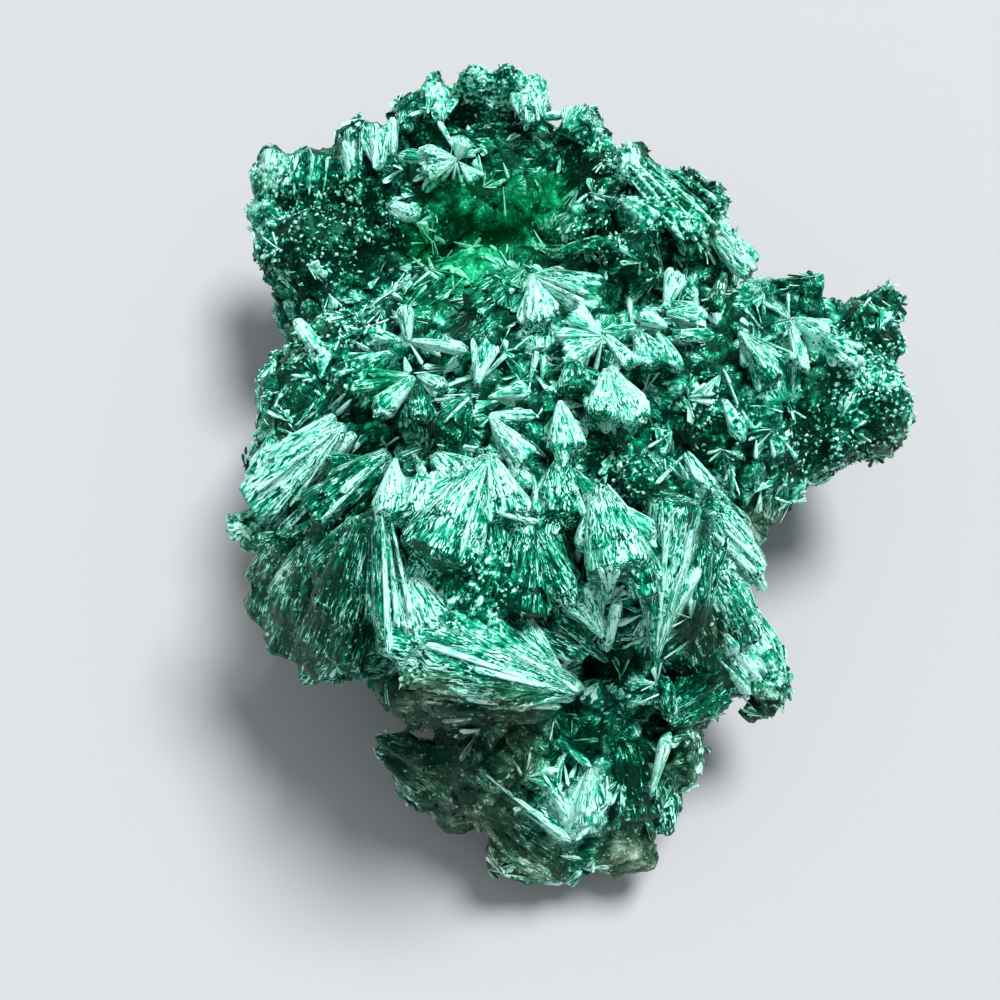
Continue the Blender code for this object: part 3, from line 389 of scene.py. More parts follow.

# %% [markdown]
# ## The large sheaves
# These are the fans that give the lump its look: the great fans in front, the ledge below them,
# the rosettes of the middle, the crown around the hollow, the arm and the foot. They repeat the
# sheaves of the solid, place by place, with a painted tone from dark to bright that paints how
# each one catches the light.

# %% Sheaf table
# Read x, y, height z of the root and of the rim's middle, half-width at the root and at the rim,
# half-thickness, tone (painted light and shade: how brightly the fan catches the light)
SHEAVES = [
    # great fans above the ledge
    (-13.2, 0.8, 28.5, -20.0, -6.4, 24.0, 1.2, 2.4, 2.0, 0.80),
    (-19.0, -0.2, 23.5, -20.4, -5.0, 21.5, 0.5, 1.0, 1.0, 0.80),
    (-9.2, -1.8, 30.0, -15.4, -7.2, 27.5, 0.8, 2.1, 1.8, 0.45),
    (-8.7, -2.4, 31.5, -9.0, -7.6, 32.5, 0.3, 1.5, 1.4, 1.00),
    (-6.2, -3.4, 31.5, -6.6, -9.0, 32.5, 1.1, 1.2, 1.6, 0.80),
    (-1.5, -3.0, 32.0, -6.8, -8.8, 32.5, 0.5, 1.6, 1.8, 0.66),
    (-1.0, -2.0, 32.5, -5.2, -11.6, 32.5, 0.6, 3.6, 2.4, 0.64),
    (-0.9, -2.0, 32.5, 0.6, -8.0, 32.5, 0.6, 2.2, 1.9, 0.78),
    (2.4, -7.6, 31.0, 0.9, -16.0, 28.5, 0.8, 3.2, 2.4, 0.30),
    (4.2, -9.0, 30.0, 4.2, -15.0, 27.0, 0.8, 1.8, 2.0, 0.30),
    (-9.9, -6.6, 31.5, -8.3, -19.2, 27.5, 0.6, 1.5, 2.0, 0.42),
    (-8.0, -12.0, 30.5, -5.0, -18.4, 28.5, 1.0, 2.6, 1.8, 0.70),
    (-10.6, -7.6, 30.5, -13.2, -18.6, 20.0, 1.4, 3.2, 2.4, 0.30),
    (-14.0, -9.0, 26.5, -16.8, -18.2, 14.5, 1.7, 2.2, 2.2, 0.35),
    (-17.4, -9.8, 23.5, -18.8, -15.4, 14.5, 1.2, 1.9, 2.0, 0.35),
    (-12.0, -17.0, 21.0, -14.7, -20.8, 12.5, 1.5, 1.4, 1.6, 0.35),
    (5.0, -2.4, 29.0, 5.0, -8.0, 30.0, 0.8, 2.3, 1.8, 0.60),
    (8.2, -4.6, 31.0, 9.7, -12.6, 31.0, 0.9, 2.9, 2.2, 0.74),
    (10.2, -8.0, 31.0, 11.9, -14.6, 29.5, 0.8, 1.4, 1.6, 0.50),
    (12.0, -19.6, 22.5, 14.4, -5.8, 30.5, 0.5, 2.4, 2.2, 0.74),
    (15.5, -17.0, 22.0, 16.2, -8.0, 28.0, 0.8, 1.2, 1.6, 0.35),
    (1.0, -8.6, 31.2, -3.6, -16.0, 29.9, 0.6, 2.7, 1.7, 0.38),
    (3.0, -8.6, 31.2, 5.6, -15.4, 28.4, 0.5, 1.6, 1.5, 0.42),
    # the ledge, closing to the right
    (6.4, -22.0, 27.0, -8.2, -16.2, 29.2, 0.4, 4.2, 1.4, 0.60),
    (6.2, -22.2, 26.5, -5.4, -18.2, 28.5, 0.4, 3.4, 1.8, 0.56),
    (5.6, -22.8, 26.0, -7.6, -20.6, 27.0, 0.4, 1.6, 1.6, 0.55),
    (4.6, -23.4, 25.5, -3.0, -22.4, 26.0, 0.3, 0.7, 1.0, 0.95),
    # right shell and flank
    (17.2, -6.0, 27.5, 20.0, -12.2, 22.0, 1.0, 2.0, 2.0, 0.60),
    (18.6, -6.8, 25.5, 20.8, -13.4, 18.5, 0.5, 0.9, 1.6, 0.95),
    (17.0, -12.0, 24.5, 19.3, -17.4, 17.0, 1.8, 1.9, 2.0, 0.55),
    (15.0, -14.6, 22.0, 15.7, -19.4, 17.0, 1.6, 1.8, 1.8, 0.30),
    (17.0, -16.6, 19.0, 18.2, -19.2, 16.0, 0.9, 1.2, 1.2, 0.85),
    (18.0, -18.8, 16.0, 18.9, -22.6, 12.0, 0.9, 0.7, 1.0, 0.90),
    (19.0, -15.5, 16.0, 21.0, -19.8, 13.0, 1.0, 1.2, 1.5, 0.70),
    (17.4, -17.6, 18.0, 20.2, -21.6, 13.2, 0.6, 1.5, 1.0, 0.80),
    # blades that meet in the notch
    (8.3, -19.8, 21.5, 4.0, -15.8, 25.5, 0.3, 0.9, 0.9, 0.40),
    (8.0, -17.8, 25.0, 6.0, -13.6, 28.5, 0.3, 1.4, 1.0, 0.85),
    (8.3, -19.0, 23.0, 9.3, -14.8, 28.0, 0.3, 0.5, 0.5, 0.95),
    (8.4, -15.0, 26.0, 8.7, -12.0, 29.5, 0.3, 0.8, 0.7, 0.90),
    (6.0, -22.3, 24.0, 1.0, -18.6, 27.5, 0.3, 0.5, 0.6, 0.60),
    (3.0, -17.6, 26.0, 6.5, -19.6, 22.5, 0.7, 0.9, 0.8, 0.50),
    # foot
    (-4.5, -27.6, 12.5, -9.4, -25.8, 13.0, 1.6, 0.5, 0.9, 0.30),
    (-4.6, -30.4, 9.5, -9.5, -26.7, 11.0, 1.3, 0.4, 0.9, 0.40),
    (-1.2, -28.6, 13.5, 5.6, -33.6, 9.5, 0.5, 0.8, 1.0, 0.60),
    (-0.6, -31.2, 10.5, 4.6, -35.2, 6.5, 0.9, 1.1, 1.2, 0.25),
    (-0.2, -33.6, 7.5, 4.4, -36.0, 4.8, 1.0, 1.2, 1.4, 0.50),
    (6.8, -28.2, 14.0, 6.4, -32.4, 11.0, 0.3, 1.5, 1.2, 0.85),
    (7.9, -28.8, 13.5, 7.0, -33.0, 9.5, 0.3, 0.7, 0.9, 0.60),
    (3.2, -28.2, 14.0, 4.9, -31.8, 11.5, 0.4, 0.5, 0.7, 0.90),
    (9.6, -26.0, 15.0, 10.2, -31.8, 9.5, 1.2, 1.2, 1.4, 0.25),
    (11.2, -30.3, 12.5, 12.7, -25.6, 15.7, 0.2, 0.65, 0.6, 0.95),
    (13.0, -24.6, 15.0, 12.8, -21.2, 17.5, 0.7, 0.6, 0.7, 0.35),
    (13.0, -25.0, 14.5, 17.4, -22.6, 13.5, 0.4, 1.4, 1.4, 0.25),
    (12.6, -24.0, 15.0, 17.0, -20.2, 16.0, 0.5, 1.5, 1.5, 0.25),
    (13.6, -25.4, 13.0, 14.3, -28.8, 8.5, 0.9, 0.9, 1.4, 0.50),
    (12.2, -29.4, 10.0, 12.4, -32.8, 6.5, 1.2, 1.0, 1.6, 0.40),
    # rosettes of the middle
    (-7.9, 9.2, 25.5, -8.4, 13.1, 26.5, 0.3, 0.9, 0.7, 0.95),
    (-7.6, 9.2, 25.5, -2.7, 8.3, 26.5, 0.3, 0.7, 0.6, 0.95),
    (-8.6, 9.2, 25.5, -11.4, 10.2, 26.0, 0.3, 0.6, 0.6, 0.70),
    (-9.4, 8.0, 25.5, -14.0, 4.6, 25.5, 0.4, 1.9, 1.2, 0.50),
    (-7.3, 5.6, 26.5, -10.8, 1.6, 27.0, 0.4, 1.4, 1.0, 0.80),
    (-7.0, 5.8, 26.5, -4.6, 4.6, 27.5, 0.3, 0.8, 0.6, 0.80),
    (-7.0, 5.2, 26.5, -6.8, 1.4, 27.5, 0.3, 1.2, 0.9, 0.30),
    (-2.6, 3.6, 28.0, -4.8, -0.4, 29.0, 0.5, 2.0, 1.2, 0.25),
    (-1.9, 5.0, 27.5, -0.9, 9.2, 28.0, 0.3, 0.9, 0.5, 0.95),
    (2.9, 15.9, 25.0, 3.5, 11.0, 27.0, 0.3, 1.6, 1.0, 0.85),
    (3.0, 15.7, 25.0, 8.6, 12.2, 27.0, 0.3, 1.5, 1.0, 0.70),
    (4.2, 16.2, 24.5, 9.0, 14.2, 26.5, 0.4, 1.5, 1.2, 0.60),
    (2.2, 16.6, 24.5, -2.6, 12.2, 24.5, 0.4, 2.3, 1.2, 0.25),
    (8.8, 9.9, 26.5, 5.9, 12.0, 27.5, 0.3, 1.1, 0.7, 0.85),
    (8.8, 9.8, 26.5, 4.7, 9.7, 27.5, 0.3, 0.8, 0.7, 0.80),
    (8.8, 9.6, 26.5, 5.8, 7.0, 28.0, 0.3, 1.1, 0.8, 0.80),
    (9.2, 9.8, 26.5, 11.2, 6.8, 28.0, 0.3, 0.9, 0.8, 0.80),
    (11.8, 10.2, 26.5, 13.2, 6.6, 28.0, 0.5, 1.1, 0.9, 0.80),
    (13.6, 10.0, 26.5, 15.2, 6.4, 27.5, 0.4, 0.9, 0.8, 0.80),
    (14.5, 12.8, 26.0, 15.9, 16.6, 26.5, 0.3, 1.3, 0.7, 0.90),
    (14.5, 12.0, 26.0, 18.2, 11.6, 26.0, 0.3, 1.1, 0.8, 0.80),
    (14.5, 10.6, 26.5, 12.0, 12.0, 27.0, 0.3, 1.0, 0.8, 0.90),
    (15.0, 9.8, 26.5, 18.6, 9.8, 26.0, 0.5, 0.6, 0.7, 0.60),
    (19.9, 16.2, 24.0, 18.7, 12.6, 25.0, 0.4, 0.8, 0.8, 0.35),
    (5.1, 3.2, 28.6, 5.6, -1.6, 28.9, 0.3, 1.9, 1.2, 0.85),
    (9.4, 6.6, 28.0, 11.5, 1.0, 29.5, 0.4, 1.7, 1.1, 0.90),
    (9.0, 6.3, 28.0, 8.4, 1.8, 29.5, 0.3, 1.4, 1.0, 0.80),
    (-0.9, 1.8, 29.0, 2.3, -2.4, 30.0, 0.3, 1.1, 0.8, 0.90),
    (-0.9, 1.9, 29.0, 3.1, 1.9, 29.5, 0.3, 0.5, 0.5, 0.95),
    (-1.0, 3.6, 28.5, 2.6, 4.6, 29.0, 0.15, 0.95, 0.6, 0.95),
    (-5.6, -1.8, 30.0, -3.6, -4.0, 31.5, 0.5, 1.2, 0.8, 0.70),
    (6.2, 7.4, 27.5, 6.4, 4.2, 29.0, 0.5, 1.7, 0.9, 0.45),
    (11.0, -2.0, 28.5, 12.0, -6.0, 29.5, 1.0, 1.6, 1.2, 0.35),
    (15.4, -1.6, 28.0, 17.4, -5.2, 27.5, 0.4, 0.8, 0.8, 0.80),
    (19.0, 3.4, 25.0, 20.3, -0.6, 24.5, 0.3, 0.9, 0.7, 0.75),
    # arm
    (25.3, 11.4, 22.5, 28.6, 9.8, 23.0, 0.3, 1.2, 0.9, 0.85),
    (25.2, 11.2, 22.5, 26.0, 6.2, 23.0, 0.3, 0.8, 0.8, 0.85),
    (20.7, 10.1, 24.5, 23.6, 5.2, 24.0, 0.3, 1.4, 1.0, 0.70),
    (27.6, 10.0, 22.5, 31.2, 6.8, 22.5, 0.3, 1.6, 1.0, 0.58),
    (22.5, -5.0, 15.0, 21.8, -8.2, 12.5, 1.0, 0.8, 1.3, 0.50),
    # right of the crown
    (11.5, 28.4, 23.0, 17.6, 19.6, 25.0, 0.6, 1.2, 1.2, 0.56),
    (13.2, 28.8, 22.5, 19.0, 20.4, 24.0, 0.5, 1.0, 1.2, 0.50),
    (12.2, 26.4, 23.0, 11.8, 29.3, 22.5, 0.9, 1.0, 1.1, 0.80),
    (11.0, 24.4, 24.0, 14.2, 21.4, 25.5, 0.5, 1.1, 0.9, 0.65),
    (19.4, 21.0, 20.2, 22.2, 15.8, 19.5, 0.9, 1.3, 1.1, 0.85),
    (5.4, 18.6, 23.5, 9.6, 19.6, 24.5, 0.4, 0.8, 0.8, 0.50),
    # crown and the star below it
    (-5.6, 33.4, 21.5, -6.1, 37.6, 20.5, 0.4, 1.7, 1.3, 0.70),
    (2.6, 33.2, 22.3, 3.4, 37.4, 20.5, 0.5, 1.8, 1.3, 0.70),
    (6.2, 32.2, 21.5, 8.0, 34.6, 20.6, 0.5, 1.3, 1.2, 0.70),
    (-4.1, 28.7, 21.5, -7.3, 28.4, 23.0, 0.3, 2.2, 0.9, 0.90),
    (-3.9, 28.9, 21.5, -3.3, 31.3, 23.0, 0.3, 1.2, 0.6, 0.90),
    (-3.6, 28.3, 21.5, -2.3, 26.3, 22.5, 0.2, 0.8, 0.5, 0.90),
    # upper left
    (-21.1, 24.2, 16.0, -20.9, 29.9, 18.5, 1.2, 1.4, 1.6, 0.60),
    (-17.4, 24.4, 17.5, -17.2, 29.0, 18.5, 2.0, 2.2, 1.8, 0.40),
    (-13.8, 27.0, 19.0, -14.0, 30.8, 20.0, 0.3, 0.9, 0.8, 0.85),
    (-12.8, 27.6, 19.5, -12.9, 32.4, 20.5, 0.3, 0.5, 0.7, 0.35),
    (-11.2, 27.6, 20.5, -11.6, 32.9, 21.5, 0.4, 0.95, 0.8, 0.85),
    (-9.9, 29.2, 21.0, -10.2, 33.7, 21.5, 0.4, 0.75, 0.8, 0.75),
    (-8.8, 32.6, 20.5, -8.6, 34.8, 20.0, 0.8, 0.8, 1.1, 0.60),
    (-10.2, 23.6, 20.5, -7.8, 22.4, 22.0, 0.6, 0.9, 0.9, 0.85),
    (-17.8, 11.4, 22.0, -15.6, 8.2, 22.5, 0.6, 0.7, 0.8, 0.80),
]

# Fans of the hidden sides and back: true x, y, z of root and rim, then widths and thickness
WALL_FANS = [
    (-5.0, 30.0, 14.0, -7.5, 36.5, 10.5, 1.2, 3.0, 2.4),
    (1.0, 30.0, 13.0, 1.5, 37.5, 8.5, 1.2, 3.2, 2.4),
    (6.0, 29.0, 13.0, 9.0, 33.5, 8.0, 1.2, 3.0, 2.4),
    (13.0, 23.0, 13.0, 17.5, 28.0, 9.0, 1.2, 3.0, 2.4),
    (17.0, 18.0, 13.0, 22.0, 20.0, 9.5, 1.2, 2.8, 2.4),
    (18.0, 11.0, 11.0, 24.0, 13.5, 7.0, 1.2, 2.6, 2.2),
    (26.0, 6.0, 13.0, 31.5, 10.0, 9.5, 1.2, 2.8, 2.2),
    (18.0, -2.0, 12.0, 23.0, -3.0, 6.5, 1.2, 2.8, 2.4),
    (14.0, -8.0, 11.0, 19.5, -9.5, 6.0, 1.2, 2.8, 2.4),
    (9.0, -17.0, 10.0, 14.0, -21.5, 3.5, 1.2, 2.6, 2.4),
    (-10.0, 25.0, 12.0, -14.0, 30.0, 8.5, 1.2, 3.0, 2.4),
    (-15.0, 19.0, 11.0, -20.5, 23.0, 7.5, 1.2, 3.0, 2.4),
    (-14.0, 9.0, 12.0, -20.8, 11.0, 8.5, 1.2, 3.0, 2.4),
    (-13.0, 2.0, 13.0, -21.0, 2.5, 9.0, 1.2, 3.2, 2.6),
    (-11.0, -8.0, 12.0, -15.8, -9.2, 6.5, 1.2, 2.6, 2.4),
    (-8.0, -14.0, 10.0, -10.2, -17.0, 5.0, 1.2, 2.4, 2.2),
    (-5.0, 24.0, 7.0, -10.0, 27.0, 3.0, 1.2, 3.0, 2.2),
    (3.0, 24.0, 7.0, 4.0, 31.0, 3.0, 1.2, 3.2, 2.2),
    (12.0, 16.0, 7.0, 16.5, 20.5, 3.5, 1.2, 3.0, 2.2),
]
WALL_TONE = 0.5


def sheaf_rows():
    """The sheaf table as arrays of true places; the fans face the eye."""
    table = np.array(SHEAVES)
    root, rim = place(table[:, 0:3]), place(table[:, 3:6])
    return {"root": root, "rim": rim, "facing": EYE - (root + rim) / 2,
            "half_root": table[:, 6], "half_rim": table[:, 7], "thick": table[:, 8],
            "tone": table[:, 9], "seed": np.arange(len(table)) * 1.0}


def wall_rows():
    """The wall fans as arrays; they face straight out from the lump's axis."""
    table = np.array(WALL_FANS)
    rim = table[:, 3:6]
    return {"root": table[:, 0:3], "rim": rim, "facing": rim * np.array([1.0, 1.0, 0.0]),
            "half_root": table[:, 6], "half_rim": table[:, 7], "thick": table[:, 8],
            "tone": np.full(len(table), WALL_TONE), "seed": 200.0 + np.arange(len(table))}


sheaves = sheaf_rows()
walls = wall_rows()
print(len(SHEAVES), "sheaves and", len(WALL_FANS), "wall fans")

# %% [markdown]
# ## Daughter sheaves
# A large fan seldom stands alone. Smaller sheaves grew from nearly the same point along both of
# its sides, a little lower and more splayed, and carry its surface over to its neighbours. Each
# daughter's rim is brought onto the solid where it would hang in the air.

# %% Daughters on both sides
DAUGHTERS_PER_SIDE = 2
FLOATING = 0.4


def daughter_rows(parents, draw):
    """Smaller fans beside each parent: turned past its side, shorter, narrower and lower."""
    count, many = len(parents["tone"]), 2 * DAUGHTERS_PER_SIDE
    parents = {key: np.repeat(values, many, axis=0) for key, values in parents.items()}
    side = np.tile([-1.0, 1.0] * DAUGHTERS_PER_SIDE, count)
    step = np.tile(np.repeat(np.arange(1.0, DAUGHTERS_PER_SIDE + 1), 2), count)

    def spread(low, high):
        """A random number between two limits for each daughter."""
        return draw.uniform(low, high, count * many)

    line = parents["rim"] - parents["root"]
    length = np.linalg.norm(line, axis=1)
    axis = unit(line)
    across = unit(np.cross(parents["facing"], axis))
    outward = np.cross(axis, across)
    opening = np.arctan2(parents["half_rim"] - parents["half_root"], length)
    turn = side * (opening * spread(0.6, 1.0) + spread(0.02, 0.22) * step)
    sunk = parents["thick"] * spread(0.15, 0.55) * step
    root = (parents["root"] + across * (side * parents["half_root"] * 0.8)[:, None]
            + axis * (length * spread(0.0, 0.25))[:, None] - outward * (0.5 * sunk)[:, None])
    way = axis * np.cos(turn)[:, None] + across * np.sin(turn)[:, None]
    rim = root + way * (length * spread(0.4, 0.85))[:, None] - outward * sunk[:, None]
    for number, point in enumerate(rim):
        found, _, _, away = solid_tree.find_nearest(Vector(point))
        if away > FLOATING:
            rim[number] = np.array(found) + outward[number] * 0.1
    return {"root": root, "rim": rim, "facing": parents["facing"] + across * (0.5 * side)[:, None],
            "half_root": parents["half_root"] * 0.4, "half_rim": parents["half_rim"] * spread(0.25, 0.5),
            "thick": parents["thick"] * spread(0.3, 0.6), "tone": parents["tone"] + spread(-0.28, 0.12),
            "seed": 1000.0 + np.arange(count * many)}


# %% Building the sheaves
WIDE, MIDDLING = 1.75, 0.95
wide = sheaves["half_rim"] >= WIDE
middling = (sheaves["half_rim"] >= MIDDLING) & ~wide
narrow = ~wide & ~middling
all_fans = {key: np.concatenate([sheaves[key], walls[key]]) for key in sheaves}
daughters = daughter_rows(pick(all_fans, all_fans["half_rim"] >= MIDDLING),
                          np.random.default_rng(5))
print("daughters:", len(daughters["tone"]))
pieces = [
    make_piece("great_fans", *fan_surface(pick(sheaves, wide), 84, 34, 6, 4, 0.09), 50),
    make_piece("middle_fans", *fan_surface(pick(sheaves, middling), 40, 18, 4, 3, 0.12), 50),
    make_piece("narrow_fans", *fan_surface(pick(sheaves, narrow), 22, 10, 3, 3, 0.14), 45),
    make_piece("wall_fans", *fan_surface(walls, 50, 20, 4, 3, 0.10), 50),
    make_piece("daughter_fans", *fan_surface(daughters, 16, 9, 2, 2, 0.12), 45),
]

# %% [markdown]
# ## Seats and cells
# Between the large fans the lump is made of many small sheaves that started at seats a few
# millimetres apart and grew until they met. Each seat owns the stretch of surface that is nearest
# to it. Its fibres spread from an apex a little to one side of the seat and below the surface.

# %% Seats
SEAT_CELL = 3.0
draw = np.random.default_rng(11)


def spots_on_solid(cell, draw):
    """Random places on the solid, one in each cell of a lattice, with their normals."""
    corners = solid_points[solid_triangles]
    crossed = np.cross(corners[:, 1] - corners[:, 0], corners[:, 2] - corners[:, 0])
    areas = np.linalg.norm(crossed, axis=1)
    wanted = int(areas.sum() / 2 / cell ** 2 * 12)
    chosen = draw.choice(len(areas), wanted, p=areas / areas.sum())
    first, second = draw.random(wanted), draw.random(wanted)
    over = first + second > 1
    first[over], second[over] = 1 - first[over], 1 - second[over]
    picked = corners[chosen]
    points = (picked[:, 0] + first[:, None] * (picked[:, 1] - picked[:, 0])
              + second[:, None] * (picked[:, 2] - picked[:, 0]))
    normals = unit(crossed[chosen])
    _, one_each = np.unique(np.floor(points / cell), axis=0, return_index=True)
    return points[one_each], normals[one_each]


def make_seats(cell, draw):
    """Seats with their fibres' direction, apex, reach, tilt and tone."""
    spots, normals = spots_on_solid(cell, draw)
    count = len(spots)
    side = unit(np.cross(normals, draw.normal(size=(count, 3))))
    tilt_way = unit(np.cross(normals, draw.normal(size=(count, 3))))
    away = draw.uniform(0.6, 2.0, count)[:, None]
    depth = draw.uniform(0.4, 1.2, count)[:, None]
    return {"spot": spots, "normal": normals, "side": side, "apex": spots - side * away
            - normals * depth, "span": draw.uniform(2.0, 3.5, count),
            "tilt": tilt_way * draw.uniform(0.05, 0.32, count)[:, None],
            "weight": draw.uniform(-0.8, 0.8, count), "tone": draw.uniform(0.08, 0.54, count)}


seats = make_seats(SEAT_CELL, draw)
print("seats:", len(seats["tone"]))

# %% Which seat or fan owns a point
FAN_REACH = 0.5
BATCH = 20000


def nearest_seat(points, seats):
    """The owning seat of each point, and how much nearer it is than the next one."""
    owner = np.empty(len(points), int)
    lead = np.empty(len(points))
    spots = seats["spot"]
    for start in range(0, len(points), BATCH):
        some = points[start:start + BATCH]
        square = ((some ** 2).sum(1)[:, None] + (spots ** 2).sum(1)[None]
                  - 2 * some @ spots.T)
        away = np.sqrt(np.maximum(square, 0)) + seats["weight"][None]
        best = np.argpartition(away, 1, axis=1)[:, :2]
        pair = np.take_along_axis(away, best, axis=1)
        nearer = pair.argmin(axis=1)
        owner[start:start + BATCH] = best[np.arange(len(some)), nearer]
        lead[start:start + BATCH] = np.abs(pair[:, 0] - pair[:, 1])
    return owner, lead


def nearest_fan(points, fans):
    """The nearest fan of each point, and the distance past that fan's side."""
    nearest = np.full(len(points), 1e9)
    owner = np.zeros(len(points), int)
    for number, (root, rim, half_root, half_rim) in enumerate(
            zip(fans["root"], fans["rim"], fans["half_root"], fans["half_rim"])):
        line = rim - root
        part = np.clip((points - root) @ line / (line @ line), 0, 1)
        away = np.linalg.norm(points - root - part[:, None] * line, axis=1)
        away -= half_root + (half_rim - half_root) * part
        owner[away < nearest] = number
        nearest = np.minimum(nearest, away)
    return owner, nearest


def fan_apexes(fans):
    """Each fan's apex, where its sides meet behind the root, and its span from there."""
    length = np.linalg.norm(fans["rim"] - fans["root"], axis=1)
    opening = np.arctan2(fans["half_rim"] - fans["half_root"], length)
    behind = np.minimum(fans["half_root"] / np.maximum(np.tan(opening), 0.02), LONGEST_APEX)
    apex = fans["root"] - unit(fans["rim"] - fans["root"]) * behind[:, None]
    return apex, length + behind


# %% [markdown]
# ## The mass between the fans
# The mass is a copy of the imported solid, merged and turned into an even fine mesh. Every seat's
# stretch of it becomes one small sheaf: a facet with a tilt of its own, a groove where it meets
# the next, and fibres in relief that run away from its apex. Beside a large fan the mass carries
# on with that fan's fibres. The flat resting face stays flat.

# %% A fine copy of the solid
MASS_LATTICE = 0.445
MASS_SINK = 0.18
GROOVE_DEPTH = 0.55
GROOVE_WIDTH = 0.6
MOST_TILT = 0.5
CLUMP_SIZE = 1.7


def even_copy(mesh, lattice):
    """The same form on an even lattice of small faces, as arrays of places, normals and faces."""
    thing = bpy.data.objects.new("lattice", mesh)
    bpy.context.scene.collection.objects.link(thing)
    remesh = thing.modifiers.new("Lattice", "REMESH")
    remesh.mode = "VOXEL"
    remesh.voxel_size = lattice * MM
    graph = bpy.context.evaluated_depsgraph_get()
    fine = bpy.data.meshes.new_from_object(thing.evaluated_get(graph))
    bpy.data.objects.remove(thing, do_unlink=True)
    points = np.empty(3 * len(fine.vertices), np.float32)
    fine.vertices.foreach_get("co", points)
    normals = np.empty(3 * len(fine.vertices), np.float32)
    fine.vertex_normals.foreach_get("vector", normals)
    corners = np.empty(len(fine.loops), np.int32)
    fine.loops.foreach_get("vertex_index", corners)
    return (points.reshape(-1, 3).astype(float) / MM, normals.reshape(-1, 3).astype(float),
            corners.reshape(-1, 4))


def clump_noise(points):
    """Smooth noise with lumps a few millimetres wide, for the granular places."""
    return soft_noise(points / CLUMP_SIZE, 31)


def fibre_noise(points, apex, span, pitch, dash, seed):
    """Noise drawn out along the lines from an apex: its place is the direction times a number
    that grows slowly with distance, so it changes quickly across the fibres only."""
    away = points - apex
    distance = np.linalg.norm(away, axis=-1, keepdims=True)
    stretched = span[:, None] / pitch + distance / dash
    return soft_noise(away / np.maximum(distance, 1e-6) * stretched + apex * 0.7, seed)


mass_points, mass_normals, mass_quads = even_copy(solid_mesh, MASS_LATTICE)
wobbly = mass_points + 0.5 * np.column_stack([soft_noise(mass_points / 1.6, s) for s in (21, 22, 23)])
seat_of, lead = nearest_seat(wobbly, seats)
fan_of, gap = nearest_fan(mass_points, all_fans)
by_fan = gap < FAN_REACH
fan_apex, fan_span = fan_apexes(all_fans)
mass_apex = np.where(by_fan[:, None], fan_apex[fan_of], seats["apex"][seat_of])
mass_span = np.where(by_fan, fan_span[fan_of], seats["span"][seat_of])

free = smooth_step(mass_points[:, 2], 0.1, 1.2)
grainy = patches(mass_points, GRANULAR)
lumps = soft_noise(mass_points / 1.0, 3)
clumps = clump_noise(mass_points)
bundles = fibre_noise(mass_points, mass_apex, mass_span, 0.8, 4.0, 8)
facet = np.clip(((mass_points - seats["spot"][seat_of]) * seats["tilt"][seat_of]).sum(1),
                -MOST_TILT, MOST_TILT)
groove = GROOVE_DEPTH * (1 - smooth_step(lead, 0.0, GROOVE_WIDTH))
own = np.where(by_fan, 0.0, 1.0)
glowing = patches(mass_points, EMERALD_GLOW)
smoother = np.maximum.reduce([0.6 * grainy, 0.85 * glowing,
                              0.75 * patches(mass_points, WEATHERED)])
shift = (0.14 * bundles + grainy * (0.16 * lumps + 0.30 * clumps)
         + own * (1 - smoother) * (facet - groove) - MASS_SINK)
mass_points = mass_points + mass_normals * (free * shift)[:, None]
# Painted shade darkens the grooves between the small sheaves, and a painted highlight lightens a band
# just beside each groove (rim_light); beside a large fan the mass takes that fan's painted tone.
rim_light = smooth_step(lead, 0.3, 0.7) * (1 - smooth_step(lead, 0.8, 1.4))
seat_tone = seats["tone"][seat_of] * (1 - smoother) + 0.30 * smoother
mass_bright = (np.where(by_fan, all_fans["tone"][fan_of] - 0.10, seat_tone)
               + 0.10 * bundles + 0.08 * lumps
               + own * (1 - smoother) * (0.25 * rim_light - 0.60 * groove)
               + grainy * (0.34 * clumps - 0.18))
mass = make_piece("mass", mass_points, mass_quads, np.empty((0, 3), int),
                  {"bright": mass_bright, "apex": mass_apex, "span": mass_span}, 60)
mass_tree = BVHTree.FromPolygons(mass_points.tolist(), mass_quads.tolist())

# %% [markdown]
# ## Blades that lie on the lump
# Single bright needles and blades lie on the fans, line their edges and radiate as small stars.
# Each is read by its two ends only. The line of sight through each end meets the solid where the
# end belongs, so a blade always lies on what carries it.

